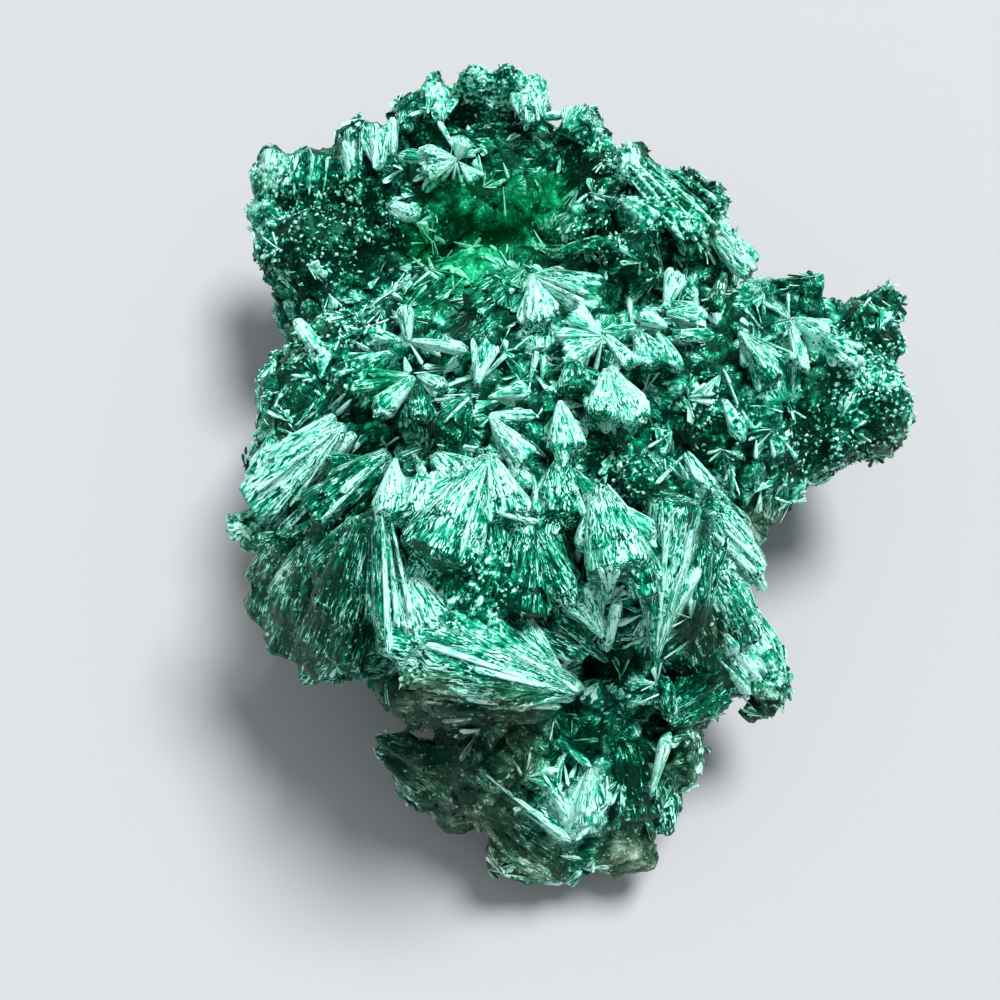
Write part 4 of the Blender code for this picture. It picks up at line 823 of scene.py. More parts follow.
# %% Blade table
# Read x, y of the root, read x, y of the tip, half-width at root and tip, lift of the tip, tone
BLADES = [
    # left bundle, knob and rim
    (-18.0, -2.0, -19.0, -3.4, 0.15, 0.35, 0.5, 0.95), (-20.6, 8.6, -22.5, 1.8, 0.30, 0.60, 0.1, 0.80),
    (-10.9, -3.0, -13.0, -5.4, 0.15, 0.40, 0.6, 0.95), (-14.0, -4.5, -18.0, -9.0, 0.20, 0.50, 0.4, 0.40),
    (-13.6, 0.2, -18.4, -7.2, 0.10, 0.25, 0.5, 0.90), (-13.8, 0.4, -20.2, -5.2, 0.10, 0.30, 0.5, 0.95),
    (-13.4, 0.0, -17.0, -6.4, 0.10, 0.22, 0.4, 0.90), (-9.6, -2.2, -14.2, -7.4, 0.08, 0.22, 0.4, 0.85),
    # great shell and dome
    (-1.2, -2.6, -7.6, -9.8, 0.12, 0.30, 0.4, 0.95), (-1.1, -2.4, -5.6, -11.0, 0.10, 0.25, 0.4, 0.90),
    (-1.0, -2.4, -3.2, -10.8, 0.10, 0.22, 0.4, 0.90), (-0.8, -2.4, 1.6, -7.6, 0.10, 0.30, 0.4, 0.95),
    (-0.9, -2.4, -0.8, -8.0, 0.10, 0.22, 0.4, 0.95), (0.0, -7.2, 3.2, -8.0, 0.15, 0.25, 0.3, 0.90),
    (2.2, -9.6, 1.4, -13.8, 0.06, 0.10, 0.2, 0.75), (1.0, -9.8, -1.8, -13.0, 0.06, 0.12, 0.2, 0.80),
    # ridge and ledge
    (-9.6, -7.5, -8.6, -19.4, 0.12, 0.30, 0.5, 1.00), (-9.0, -9.0, -8.0, -17.0, 0.10, 0.25, 0.4, 0.95),
    (-8.8, -8.0, -7.0, -16.0, 0.10, 0.22, 0.4, 0.85), (5.4, -21.6, 0.3, -18.6, 0.12, 0.25, 0.4, 0.95),
    (5.6, -22.4, -2.0, -20.4, 0.10, 0.25, 0.3, 0.95), (4.4, -22.0, -5.6, -18.4, 0.10, 0.28, 0.3, 0.90),
    (-2.2, -24.4, -4.4, -24.6, 0.10, 0.20, 0.2, 0.90),
    # small dome, middle fans and right shell
    (2.8, -4.0, 3.0, -7.0, 0.12, 0.32, 0.5, 0.95), (4.0, -3.8, 4.2, -6.8, 0.12, 0.30, 0.4, 0.90),
    (6.3, -5.0, 6.8, -7.2, 0.12, 0.32, 0.4, 0.90), (8.9, -4.6, 12.6, -10.2, 0.12, 0.28, 0.4, 0.95),
    (12.6, -10.2, 13.2, -14.5, 0.15, 0.28, 0.2, 0.95), (7.3, -5.2, 6.1, -11.5, 0.12, 0.28, 0.4, 0.90),
    (8.2, -5.2, 8.6, -12.4, 0.10, 0.24, 0.4, 0.90), (8.6, -5.0, 10.8, -12.6, 0.10, 0.24, 0.4, 0.92),
    (19.5, -7.0, 21.0, -9.6, 0.15, 0.28, 0.2, 0.95),
    (17.4, -9.0, 20.4, -12.4, 0.15, 0.35, 0.4, 0.90), (17.2, -10.6, 19.8, -13.8, 0.12, 0.30, 0.4, 0.85),
    (18.2, -8.6, 20.8, -11.4, 0.10, 0.28, 0.3, 0.90), (17.0, -16.8, 18.6, -18.8, 0.10, 0.40, 0.4, 0.85),
    (17.2, -19.8, 19.3, -22.4, 0.08, 0.35, 0.4, 0.95), (12.2, -19.0, 13.6, -8.0, 0.10, 0.28, 0.4, 0.92),
    (12.3, -19.0, 15.6, -8.6, 0.10, 0.26, 0.4, 0.88), (12.0, -19.2, 12.4, -9.4, 0.10, 0.22, 0.3, 0.85),
    # notch
    (8.1, -18.4, 9.3, -15.1, 0.12, 0.30, 0.5, 0.95), (8.6, -13.8, 8.0, -12.1, 0.10, 0.25, 0.4, 0.95),
    (8.7, -13.8, 8.8, -12.0, 0.10, 0.25, 0.4, 0.95), (8.8, -13.8, 9.4, -12.3, 0.10, 0.25, 0.4, 0.90),
    (8.0, -17.6, 4.6, -14.6, 0.12, 0.28, 0.5, 0.90), (8.0, -17.6, 6.8, -13.6, 0.12, 0.30, 0.5, 0.95),
    (4.2, -19.8, 6.0, -21.6, 0.15, 0.45, 0.4, 0.75), (1.2, -18.7, 6.0, -22.2, 0.10, 0.20, 0.3, 0.90),
    # foot
    (-9.6, -26.6, -5.6, -31.4, 0.15, 0.28, 0.1, 0.80), (-1.0, -28.7, 5.2, -33.6, 0.12, 0.28, 0.3, 0.85),
    (-0.6, -34.9, 0.3, -36.0, 0.15, 0.28, 0.1, 0.70), (0.3, -36.1, 4.6, -36.7, 0.15, 0.32, 0.1, 0.65),
    (4.7, -36.7, 5.9, -35.8, 0.15, 0.32, 0.1, 0.70), (6.8, -28.2, 6.2, -32.9, 0.10, 0.30, 0.4, 0.95),
    (8.0, -28.8, 8.0, -31.0, 0.10, 0.25, 0.3, 0.90), (8.0, -31.0, 5.6, -33.6, 0.10, 0.25, 0.3, 0.90),
    (3.0, -28.3, 5.0, -31.7, 0.15, 0.32, 0.4, 0.90), (4.4, -26.0, 6.8, -28.0, 0.20, 0.40, 0.3, 0.50),
    (5.0, -27.0, 4.2, -28.4, 0.10, 0.25, 0.3, 0.90), (11.8, -26.8, 13.0, -25.4, 0.20, 0.40, 0.4, 0.80),
    (14.0, -25.6, 15.2, -29.4, 0.15, 0.35, 0.3, 0.60), (14.6, -25.6, 16.0, -28.4, 0.10, 0.30, 0.3, 0.50),
    (11.2, -30.2, 13.0, -33.4, 0.20, 0.40, 0.2, 0.50), (10.4, -30.4, 11.4, -33.6, 0.20, 0.40, 0.2, 0.40),
    # rosettes left of the middle
    (-8.2, 7.6, -7.8, 5.9, 0.10, 0.45, 0.4, 0.95), (-7.6, 9.0, -5.1, 7.7, 0.08, 0.20, 0.4, 0.95),
    (-8.2, 9.6, -9.4, 12.4, 0.08, 0.20, 0.4, 0.80), (-12.6, 3.4, -13.8, 1.9, 0.12, 0.30, 0.4, 0.90),
    (-13.2, 3.9, -14.2, 2.6, 0.10, 0.25, 0.4, 0.85), (-12.5, 6.4, -14.0, 5.8, 0.10, 0.30, 0.4, 0.85),
    (-7.1, 5.9, -5.2, 5.4, 0.08, 0.25, 0.4, 0.95), (-7.1, 5.8, -4.3, 4.4, 0.08, 0.25, 0.4, 0.95),
    (-7.1, 5.7, -5.5, 3.6, 0.08, 0.25, 0.4, 0.90), (-2.1, 4.6, -2.3, 9.4, 0.08, 0.32, 0.6, 0.95),
    (-1.9, 5.2, -1.2, 9.4, 0.08, 0.30, 0.6, 0.95), (-1.8, 5.2, -0.1, 8.7, 0.08, 0.30, 0.6, 0.95),
    (-1.7, 5.2, 0.6, 8.0, 0.08, 0.25, 0.5, 0.90), (-6.8, -0.9, -4.5, 1.5, 0.10, 0.16, 0.3, 0.95),
    (-4.5, 1.5, -2.6, 3.6, 0.10, 0.16, 0.3, 0.95), (-8.0, 9.6, -8.3, 13.0, 0.06, 0.25, 0.5, 0.98),
    (-7.7, 9.2, -2.8, 8.3, 0.06, 0.35, 0.5, 0.98), (-7.8, 9.0, -6.6, 6.8, 0.06, 0.20, 0.4, 0.90),
    (-8.4, 9.2, -11.2, 9.0, 0.06, 0.25, 0.4, 0.85), (-7.4, 5.4, -9.4, 2.2, 0.06, 0.25, 0.5, 0.90),
    (-7.5, 5.6, -10.8, 2.6, 0.06, 0.25, 0.5, 0.85),
    # rosettes of the middle and the right
    (2.9, 15.8, 2.4, 11.4, 0.06, 0.20, 0.4, 0.98), (2.9, 15.8, 3.3, 11.2, 0.06, 0.20, 0.4, 0.98),
    (2.9, 15.8, 4.1, 11.4, 0.06, 0.20, 0.4, 0.95), (3.0, 15.7, 5.2, 11.9, 0.06, 0.25, 0.4, 0.90),
    (1.7, 17.3, 1.0, 14.3, 0.10, 0.30, 0.5, 0.95), (3.2, 16.2, 5.6, 16.8, 0.10, 0.35, 0.4, 0.90),
    (3.0, 15.8, 8.4, 12.6, 0.06, 0.30, 0.5, 0.90), (3.2, 15.9, 8.0, 14.0, 0.06, 0.30, 0.5, 0.80),
    (8.9, 10.2, 11.9, 10.7, 0.20, 0.45, 0.4, 0.70), (14.4, 12.6, 15.0, 16.6, 0.06, 0.22, 0.5, 0.95),
    (15.2, 13.4, 15.7, 16.8, 0.08, 0.22, 0.4, 0.90), (15.6, 13.2, 16.6, 16.9, 0.08, 0.25, 0.4, 0.90),
    (15.8, 13.0, 17.4, 16.2, 0.08, 0.25, 0.4, 0.85), (14.5, 10.6, 12.2, 11.9, 0.10, 0.50, 0.4, 0.90),
    (8.8, 9.8, 5.8, 11.6, 0.06, 0.30, 0.5, 0.92), (8.8, 9.7, 4.8, 9.9, 0.06, 0.28, 0.5, 0.90),
    (8.8, 9.6, 6.2, 7.4, 0.06, 0.28, 0.5, 0.92), (8.9, 9.6, 8.1, 6.0, 0.06, 0.26, 0.5, 0.92),
    (9.0, 9.6, 10.8, 6.8, 0.06, 0.28, 0.5, 0.90), (5.1, 3.1, 4.4, -0.8, 0.05, 0.16, 0.3, 0.98),
    (5.1, 3.1, 5.4, -1.2, 0.05, 0.16, 0.3, 0.98), (5.2, 3.0, 6.4, -0.8, 0.05, 0.16, 0.3, 0.95),
    (9.4, 6.6, 13.1, 3.2, 0.08, 0.25, 0.3, 0.95), (9.4, 6.5, 11.9, 1.2, 0.08, 0.25, 0.3, 0.95),
    (9.0, 6.2, 9.6, -0.1, 0.08, 0.20, 0.3, 0.90), (-0.9, 1.9, 1.7, 2.6, 0.06, 0.15, 0.3, 0.98),
    (1.7, 2.6, 3.3, 1.7, 0.06, 0.15, 0.3, 0.98), (-5.2, -0.9, -1.4, -1.4, 0.10, 0.30, 0.3, 0.90),
    (-7.4, -1.4, -6.4, -3.5, 0.15, 0.40, 0.4, 0.90), (-3.3, -1.9, -2.4, -3.2, 0.12, 0.35, 0.4, 0.90),
    (-5.8, -1.9, -4.6, -3.8, 0.15, 0.35, 0.4, 0.80), (-4.4, -1.9, -3.6, -3.8, 0.15, 0.35, 0.4, 0.75),
    (-9.5, -1.0, -10.0, -0.2, 0.05, 0.15, 0.3, 0.90), (-9.5, -1.0, -8.4, -0.1, 0.05, 0.15, 0.3, 0.90),
    (-9.5, -1.0, -10.6, -1.6, 0.05, 0.15, 0.3, 0.90), (2.6, 5.4, 3.2, 8.2, 0.12, 0.35, 0.4, 0.90),
    (3.6, 5.4, 3.8, 7.8, 0.12, 0.30, 0.4, 0.85), (4.3, 6.0, 5.8, 7.2, 0.06, 0.15, 0.3, 0.90),
    (5.8, 7.2, 7.3, 6.4, 0.06, 0.15, 0.3, 0.90), (3.2, 1.9, 4.4, 3.8, 0.08, 0.20, 0.3, 0.85),
    (5.2, -1.4, 5.3, -3.0, 0.08, 0.20, 0.3, 0.95), (6.0, -1.4, 6.2, -3.0, 0.08, 0.20, 0.3, 0.90),
    (6.8, -1.4, 7.1, -2.9, 0.08, 0.20, 0.3, 0.90), (15.6, -1.5, 13.0, -4.4, 0.08, 0.20, 0.3, 0.90),
    (15.8, -1.6, 17.4, -5.1, 0.08, 0.25, 0.3, 0.90), (14.4, 0.3, 12.4, -1.1, 0.05, 0.15, 0.3, 0.80),
    (14.4, 0.4, 12.6, 0.6, 0.05, 0.15, 0.3, 0.80), (14.4, 0.2, 13.6, -1.6, 0.05, 0.15, 0.3, 0.80),
    (19.0, -2.8, 18.3, -5.0, 0.08, 0.20, 0.3, 0.95), (19.0, -2.9, 19.5, -5.8, 0.10, 0.30, 0.3, 0.50),
    # arm
    (25.2, 11.6, 25.3, 14.1, 0.06, 0.20, 0.5, 0.95), (25.3, 11.5, 28.5, 10.0, 0.08, 0.35, 0.4, 0.95),
    (25.2, 11.3, 26.0, 6.5, 0.08, 0.30, 0.4, 0.90), (24.8, 10.0, 25.0, 7.0, 0.06, 0.20, 0.4, 0.95),
    (20.8, 10.0, 22.8, 6.3, 0.08, 0.25, 0.4, 0.95), (27.7, 10.0, 31.3, 6.9, 0.10, 0.45, 0.4, 0.90),
    (25.1, 11.5, 23.0, 13.2, 0.06, 0.25, 0.4, 0.80), (25.2, 11.4, 22.6, 10.8, 0.06, 0.25, 0.4, 0.75),
    (21.4, -0.4, 21.2, -2.2, 0.08, 0.25, 0.4, 0.90), (22.6, -0.4, 22.8, -2.1, 0.08, 0.25, 0.4, 0.90),
    (23.8, -0.6, 24.6, -2.2, 0.08, 0.25, 0.4, 0.85), (20.4, 2.4, 21.2, 0.6, 0.08, 0.25, 0.4, 0.80),
    # star, hollow and crown
    (-4.0, 28.7, -7.4, 30.0, 0.06, 0.28, 0.5, 0.95), (-4.1, 28.6, -7.6, 28.4, 0.06, 0.35, 0.5, 0.98),
    (-4.1, 28.5, -7.9, 26.4, 0.06, 0.35, 0.5, 0.95), (-4.0, 28.8, -4.4, 31.5, 0.06, 0.28, 0.5, 0.95),
    (-3.9, 28.8, -2.9, 31.2, 0.06, 0.35, 0.5, 0.95), (-3.9, 28.7, -1.8, 30.0, 0.06, 0.20, 0.5, 0.90),
    (-3.9, 28.5, -1.5, 26.9, 0.06, 0.28, 0.5, 0.95), (-4.0, 28.4, -3.5, 26.0, 0.06, 0.22, 0.4, 0.95),
    (-4.0, 28.4, -4.3, 26.4, 0.06, 0.20, 0.4, 0.95), (-4.0, 28.4, -5.4, 26.2, 0.06, 0.25, 0.4, 0.90),
    (0.3, 28.4, 0.8, 26.5, 0.06, 0.22, 0.3, 0.95), (0.3, 25.6, 0.5, 22.1, 0.04, 0.12, 0.3, 0.95),
    (3.0, 20.9, 4.1, 18.6, 0.05, 0.15, 0.3, 0.95), (5.6, 28.9, 5.3, 27.1, 0.08, 0.25, 0.4, 0.90),
    (-7.8, 17.9, -5.6, 15.6, 0.08, 0.30, 0.4, 0.90), (-6.5, 18.2, -6.0, 16.6, 0.08, 0.20, 0.4, 0.90),
    (1.5, 35.0, 1.5, 33.4, 0.08, 0.20, 0.3, 0.90), (2.4, 35.0, 2.5, 33.3, 0.08, 0.20, 0.3, 0.90),
    (3.4, 35.0, 3.6, 33.3, 0.08, 0.20, 0.3, 0.90), (-6.8, 34.2, -6.9, 37.8, 0.15, 0.32, 0.2, 0.70),
    (-5.8, 34.2, -5.7, 38.0, 0.15, 0.32, 0.2, 0.70), (12.0, 28.0, 17.6, 19.6, 0.12, 0.28, 0.4, 0.85),
    (12.8, 28.2, 18.4, 20.2, 0.12, 0.28, 0.4, 0.90), (11.4, 27.4, 16.4, 19.8, 0.10, 0.25, 0.4, 0.80),
    (13.8, 28.4, 19.4, 21.4, 0.10, 0.25, 0.3, 0.80), (5.5, 22.0, 8.0, 25.0, 0.08, 0.20, 0.3, 0.60),
    (8.0, 25.0, 11.0, 24.0, 0.08, 0.20, 0.3, 0.60), (19.8, 21.0, 22.6, 16.4, 0.15, 0.30, 0.2, 0.95),
    # upper left
    (-13.4, 28.0, -14.6, 30.9, 0.20, 0.38, 0.4, 0.90), (-12.9, 28.2, -12.9, 32.9, 0.15, 0.24, 0.3, 0.50),
    (-11.6, 27.8, -11.8, 33.0, 0.20, 0.30, 0.3, 0.95), (-10.9, 28.4, -10.4, 32.0, 0.15, 0.28, 0.3, 0.85),
    (-9.9, 29.6, -9.9, 33.8, 0.15, 0.28, 0.3, 0.85), (-18.8, 24.8, -18.9, 29.2, 0.10, 0.20, 0.2, 0.80),
    (-17.4, 24.8, -17.3, 29.4, 0.10, 0.20, 0.2, 0.75), (-16.1, 25.0, -15.9, 29.2, 0.10, 0.20, 0.2, 0.75),
    (-21.4, 24.4, -21.5, 29.8, 0.15, 0.28, 0.2, 0.70), (-20.4, 24.4, -20.2, 29.4, 0.15, 0.28, 0.2, 0.60),
    (-9.0, 22.2, -7.4, 23.8, 0.20, 0.55, 0.4, 0.85), (-17.7, 11.2, -15.7, 8.4, 0.15, 0.30, 0.4, 0.90),
]

BLADE_THICKNESS = 0.16
MOST_BRIDGED = 1.1


def seen_on_solid(read_x, read_y):
    """Where the line of sight through a read place meets the solid, and the normal there."""
    aim = place([(read_x, read_y, READING_HEIGHT)])[0]
    point, normal, _, _ = solid_tree.ray_cast(Vector(EYE), Vector(aim - EYE).normalized())
    if point is None:
        point, normal, _, _ = solid_tree.find_nearest(Vector(aim))
    return np.array(point), np.array(normal)


def blade_rows():
    """The blades as arrays, laid on the solid and tilted up at the tip, towards the eye."""
    roots, rims, facing, bridges = [], [], [], []
    for x0, y0, x1, y1, _, _, lift, _ in BLADES:
        root, root_normal = seen_on_solid(x0, y0)
        rim, rim_normal = seen_on_solid(x1, y1)
        halfway, _, _, gap = solid_tree.find_nearest(Vector((root + rim) / 2))
        if gap > MOST_BRIDGED:
            rim = np.array(halfway)
            bridges.append(round(gap, 1))
        up = unit(EYE - rim)
        roots.append(root + up * 0.15)
        rims.append(rim + up * lift)
        facing.append(unit(root_normal + rim_normal) + up)
    print("blades shortened over hollows:", bridges)
    table = np.array(BLADES)
    return {"root": np.array(roots), "rim": np.array(rims), "facing": np.array(facing),
            "half_root": table[:, 4], "half_rim": table[:, 5],
            "thick": np.minimum(table[:, 5], BLADE_THICKNESS * 1.6), "tone": table[:, 7],
            "seed": 300.0 + np.arange(len(table))}


blades = blade_rows()
blade_lengths = np.linalg.norm(blades["rim"] - blades["root"], axis=1)
print("blades:", len(BLADES), "longest", round(float(blade_lengths.max()), 1), "mm")
pieces.append(make_piece("blades", *fan_surface(blades, 10, 6, 3, 2, 0.10), 40))

# %% [markdown]
# ## Sprays of needles
# On each small sheaf lie a few needles of their own, in a spray that spreads from the same apex as
# its fibres. Their tips are found on the solid and stand a little proud of it, which gives the
# crisp bright edges over dark gaps.

# %% Sprays on the seats
CLEAR_OF_FAN = 0.2
LOWEST_SPRAY = 1.0
NEEDLES_PER_PIECE = 2500
MOST_OVERHANG = 0.5
STEEPEST_SPRAY = -0.35


PETAL_TONES = [0.08, 0.34, 0.62, 0.92]
PETAL_SHARES = [0.24, 0.28, 0.26, 0.22]
NEEDLE_TONES = [0.55, 0.85, 1.00]
MIDDLE = [(1.0, 6.0, 16.0, 1.0), (22.0, 6.0, 7.0, 0.6)]


def spray_rows(seats, chosen, draw):
    """Petals and needles from each chosen seat, as fans whose tips lie on the solid."""
    rows = {key: [] for key in ("root", "rim", "facing", "half_root", "half_rim", "thick", "tone")}
    for number in np.flatnonzero(chosen):
        normal, side = seats["normal"][number], seats["side"][number]
        other_side = np.cross(normal, side)
        found, _, _, _ = mass_tree.find_nearest(Vector(seats["spot"][number] - side * 0.9))
        root = np.array(found) + normal * draw.uniform(-0.15, 0.10)
        sector = draw.choice([0.5, 0.9, 1.4, math.pi], p=[0.3, 0.3, 0.28, 0.12])
        broad = draw.integers(3, 6)
        larger = 1 + 0.45 * patches(seats["spot"][number], MIDDLE)
        for petal in range(broad + draw.integers(1, 4)):
            turn = draw.uniform(-sector, sector)
            reach = larger * (draw.uniform(0.9, 2.7) if petal < broad else draw.uniform(1.0, 2.6))
            aim = root + (side * math.cos(turn) + other_side * math.sin(turn)) * reach
            found, _, _, gap = solid_tree.find_nearest(Vector(aim))
            if gap > MOST_OVERHANG:
                continue
            rows["root"].append(root + draw.normal(size=3) * 0.08)
            rows["rim"].append(np.array(found) + normal * larger * draw.uniform(0.0, 0.45))
            rows["facing"].append(normal + draw.normal(size=3) * 0.4)
            rows["half_root"].append(0.05)
            rows["half_rim"].append(larger * draw.uniform(0.16, 0.44) if petal < broad
                                    else draw.uniform(0.06, 0.13))
            rows["thick"].append(draw.uniform(0.10, 0.22) if petal < broad else 0.08)
            rows["tone"].append(draw.choice(PETAL_TONES, p=PETAL_SHARES) if petal < broad
                                else draw.choice(NEEDLE_TONES))
    fans = {key: np.array(values, float) for key, values in rows.items()}
    fans["seed"] = 2000.0 + np.arange(len(fans["tone"]))
    return fans


_, seat_gap = nearest_fan(seats["spot"], all_fans)
bare = (seat_gap > CLEAR_OF_FAN) & (seats["spot"][:, 2] > LOWEST_SPRAY)
bare &= seats["normal"][:, 2] > STEEPEST_SPRAY
bare &= draw.random(len(bare)) > np.maximum.reduce([
    0.85 * patches(seats["spot"], GRANULAR), 0.97 * patches(seats["spot"], WEATHERED),
    0.75 * patches(seats["spot"], EMERALD_GLOW)])
needles = spray_rows(seats, bare, draw)
print("sprays:", int(bare.sum()), "needles:", len(needles["tone"]))
for start in range(0, len(needles["tone"]), NEEDLES_PER_PIECE):
    part = pick(needles, slice(start, start + NEEDLES_PER_PIECE))
    pieces.append(make_piece(f"sprays_{start // NEEDLES_PER_PIECE}",
                             *fan_surface(part, 3, 4, 1, 1, 0.10), 30))

# %% [markdown]
# ## Grains
# The worn and granular places are covered with single crystals of a few tenths of a millimetre.
# Each is a double pyramid, drawn out along the direction in which it stands.

# %% Scattering the grains
GRAIN_CELL = 0.50


def grain_arrays(points, normals, draw):
    """Double pyramids: four corners around the middle and a tip at each end."""
    count = len(points)
    axis = unit(normals + 1.2 * draw.normal(size=(count, 3)))
    side = unit(np.cross(axis, draw.normal(size=(count, 3))))
    other_side = np.cross(axis, side)
    long = draw.uniform(0.16, 0.42, count)[:, None]
    wide = draw.uniform(0.09, 0.24, count)[:, None]
    flat = wide * draw.uniform(0.5, 1.0, count)[:, None]
    middle = points + normals * draw.uniform(-0.10, 0.10, count)[:, None]
    corners = [middle + side * wide, middle + other_side * flat, middle - side * wide,
               middle - other_side * flat, middle + axis * long, middle - axis * long]
    places = np.stack(corners, axis=1).reshape(-1, 3)
    upper = [(k, (k + 1) % 4, 4) for k in range(4)]
    lower = [((k + 1) % 4, k, 5) for k in range(4)]
    triangles = (np.array(upper + lower)[None] + 6 * np.arange(count)[:, None, None]).reshape(-1, 3)
    # Painted light: more of the grains are pale where the LIT patches brighten the lump.
    pale = draw.random(count) < 0.46 + 0.60 * clump_noise(points) + patches(points, LIT)
    tone = np.where(pale, draw.uniform(0.75, 1.30, count), draw.uniform(0.05, 0.45, count))
    tone = np.repeat(tone, 6)
    return places, np.empty((0, 4), int), triangles, {
        "bright": tone, "apex": places, "span": np.ones(6 * count)}


grain_spots, grain_normals = spots_on_solid(GRAIN_CELL, draw)
kept = draw.random(len(grain_spots)) < 0.015 + 0.70 * patches(grain_spots, GRANULAR)
kept &= grain_spots[:, 2] > LOWEST_SPRAY
print("grains:", int(kept.sum()), "of", len(kept))
on_mass = np.array([mass_tree.find_nearest(Vector(spot))[0] for spot in grain_spots[kept]])
pieces.append(make_piece("grains", *grain_arrays(on_mass, grain_normals[kept], draw), 20))

# %% [markdown]
# ## The finish
# Malachite is a copper carbonate: deep green in thick crystals and pale mint where thin fibres
# scatter the light, with a silky to glassy lustre. The colour runs along the fibres in short broken
# dashes a fifth of a millimetre wide. The finish draws them from each piece's apex: noise that
# changes quickly from one direction to the next and slowly with distance looks like streaks on a
# fan's side and like dots on its end, as cut fibres do.

# %% Colour and node helpers
GREENS = [(0.00, "#00180f"), (0.22, "#003a27"), (0.45, "#007656"), (0.62, "#10aa84"),
          (0.77, "#6cdcc0"), (0.93, "#c8fcf4")]
WEATHERED_GREENS = [(0.00, "#0d1a12"), (0.30, "#35493a"), (0.60, "#6f836c"), (1.00, "#c2d6c2")]
EMERALD_GLOW_GREENS = [(0.00, "#003a20"), (0.35, "#007f48"), (0.70, "#12bd78"), (1.00, "#6ceeb6")]
REFRACTION = 1.78
ROUGHNESS = 0.40
LUSTRE = 0.26
LUSTRE_COLOUR = "#46d8a8"


def linear(code):
    """A hex sRGB colour as the linear values that a shader takes."""
    parts = [int(code[k:k + 2], 16) / 255 for k in (1, 3, 5)]
    return [p / 12.92 if p <= 0.04045 else ((p + 0.055) / 1.055) ** 2.4 for p in parts] + [1.0]


def add_node(tree, kind, inputs=None, **settings):
    """Add a node; inputs gives its sockets fixed values, or the sockets that feed them."""
    node = tree.nodes.new(kind)
    for name, value in settings.items():
        setattr(node, name, value)
    for socket, value in (inputs or {}).items():
        if isinstance(value, bpy.types.NodeSocket):
            tree.links.new(value, node.inputs[socket])
        else:
            node.inputs[socket].default_value = value
    return node


def add_ramp(tree, value, stops):
    """A colour ramp through the given stops."""
    ramp = add_node(tree, "ShaderNodeValToRGB", {0: value})
    while len(ramp.color_ramp.elements) < len(stops):
        ramp.color_ramp.elements.new(0.5)
    for element, (position, code) in zip(ramp.color_ramp.elements, stops):
        element.position = position
        element.color = linear(code)
    return ramp.outputs[0]


def add_math(tree, operation, first, second, third=None):
    """A number worked out from two or three others."""
    inputs = {0: first, 1: second} if third is None else {0: first, 1: second, 2: third}
    return add_node(tree, "ShaderNodeMath", inputs, operation=operation).outputs[0]


def add_vector(tree, operation, first, second=None):
    """A vector worked out from one or two others."""
    inputs = {0: first} if second is None else {0: first, 1: second}
    return add_node(tree, "ShaderNodeVectorMath", inputs, operation=operation)


def add_noise(tree, vector, scale, detail):
    """Smooth noise with a number of waves for each unit of its vector."""
    return add_node(tree, "ShaderNodeTexNoise", {"Vector": vector, "Scale": scale, "Detail": detail,
                                                 "Roughness": 0.6})


# %% The malachite finish
FIBRE_PITCH = 0.18
DASH_LENGTH = 1.25
BUNDLE_PITCH = 0.75
BUNDLE_LENGTH = 4.5
GRAIN_WAVES = 2.3
WAVER_WAVES = 0.9
WAVER = 0.5
TEXTURE_GAIN = 4.3
BUNDLE_GAIN = 1.1
PATCH_GAIN = 0.7
GLINT_PAINT_GAIN = 0.60
END_DARKENING = 0.30
WEAR_AND_GLOW_CALM = 0.5
GLASSY_WAVES = 0.55
GLASSY_SHADE = 0.16
OVERALL = 0.02
CALM_SPAN, FULL_SPAN = 2.0, 9.0
CALM = 0.60


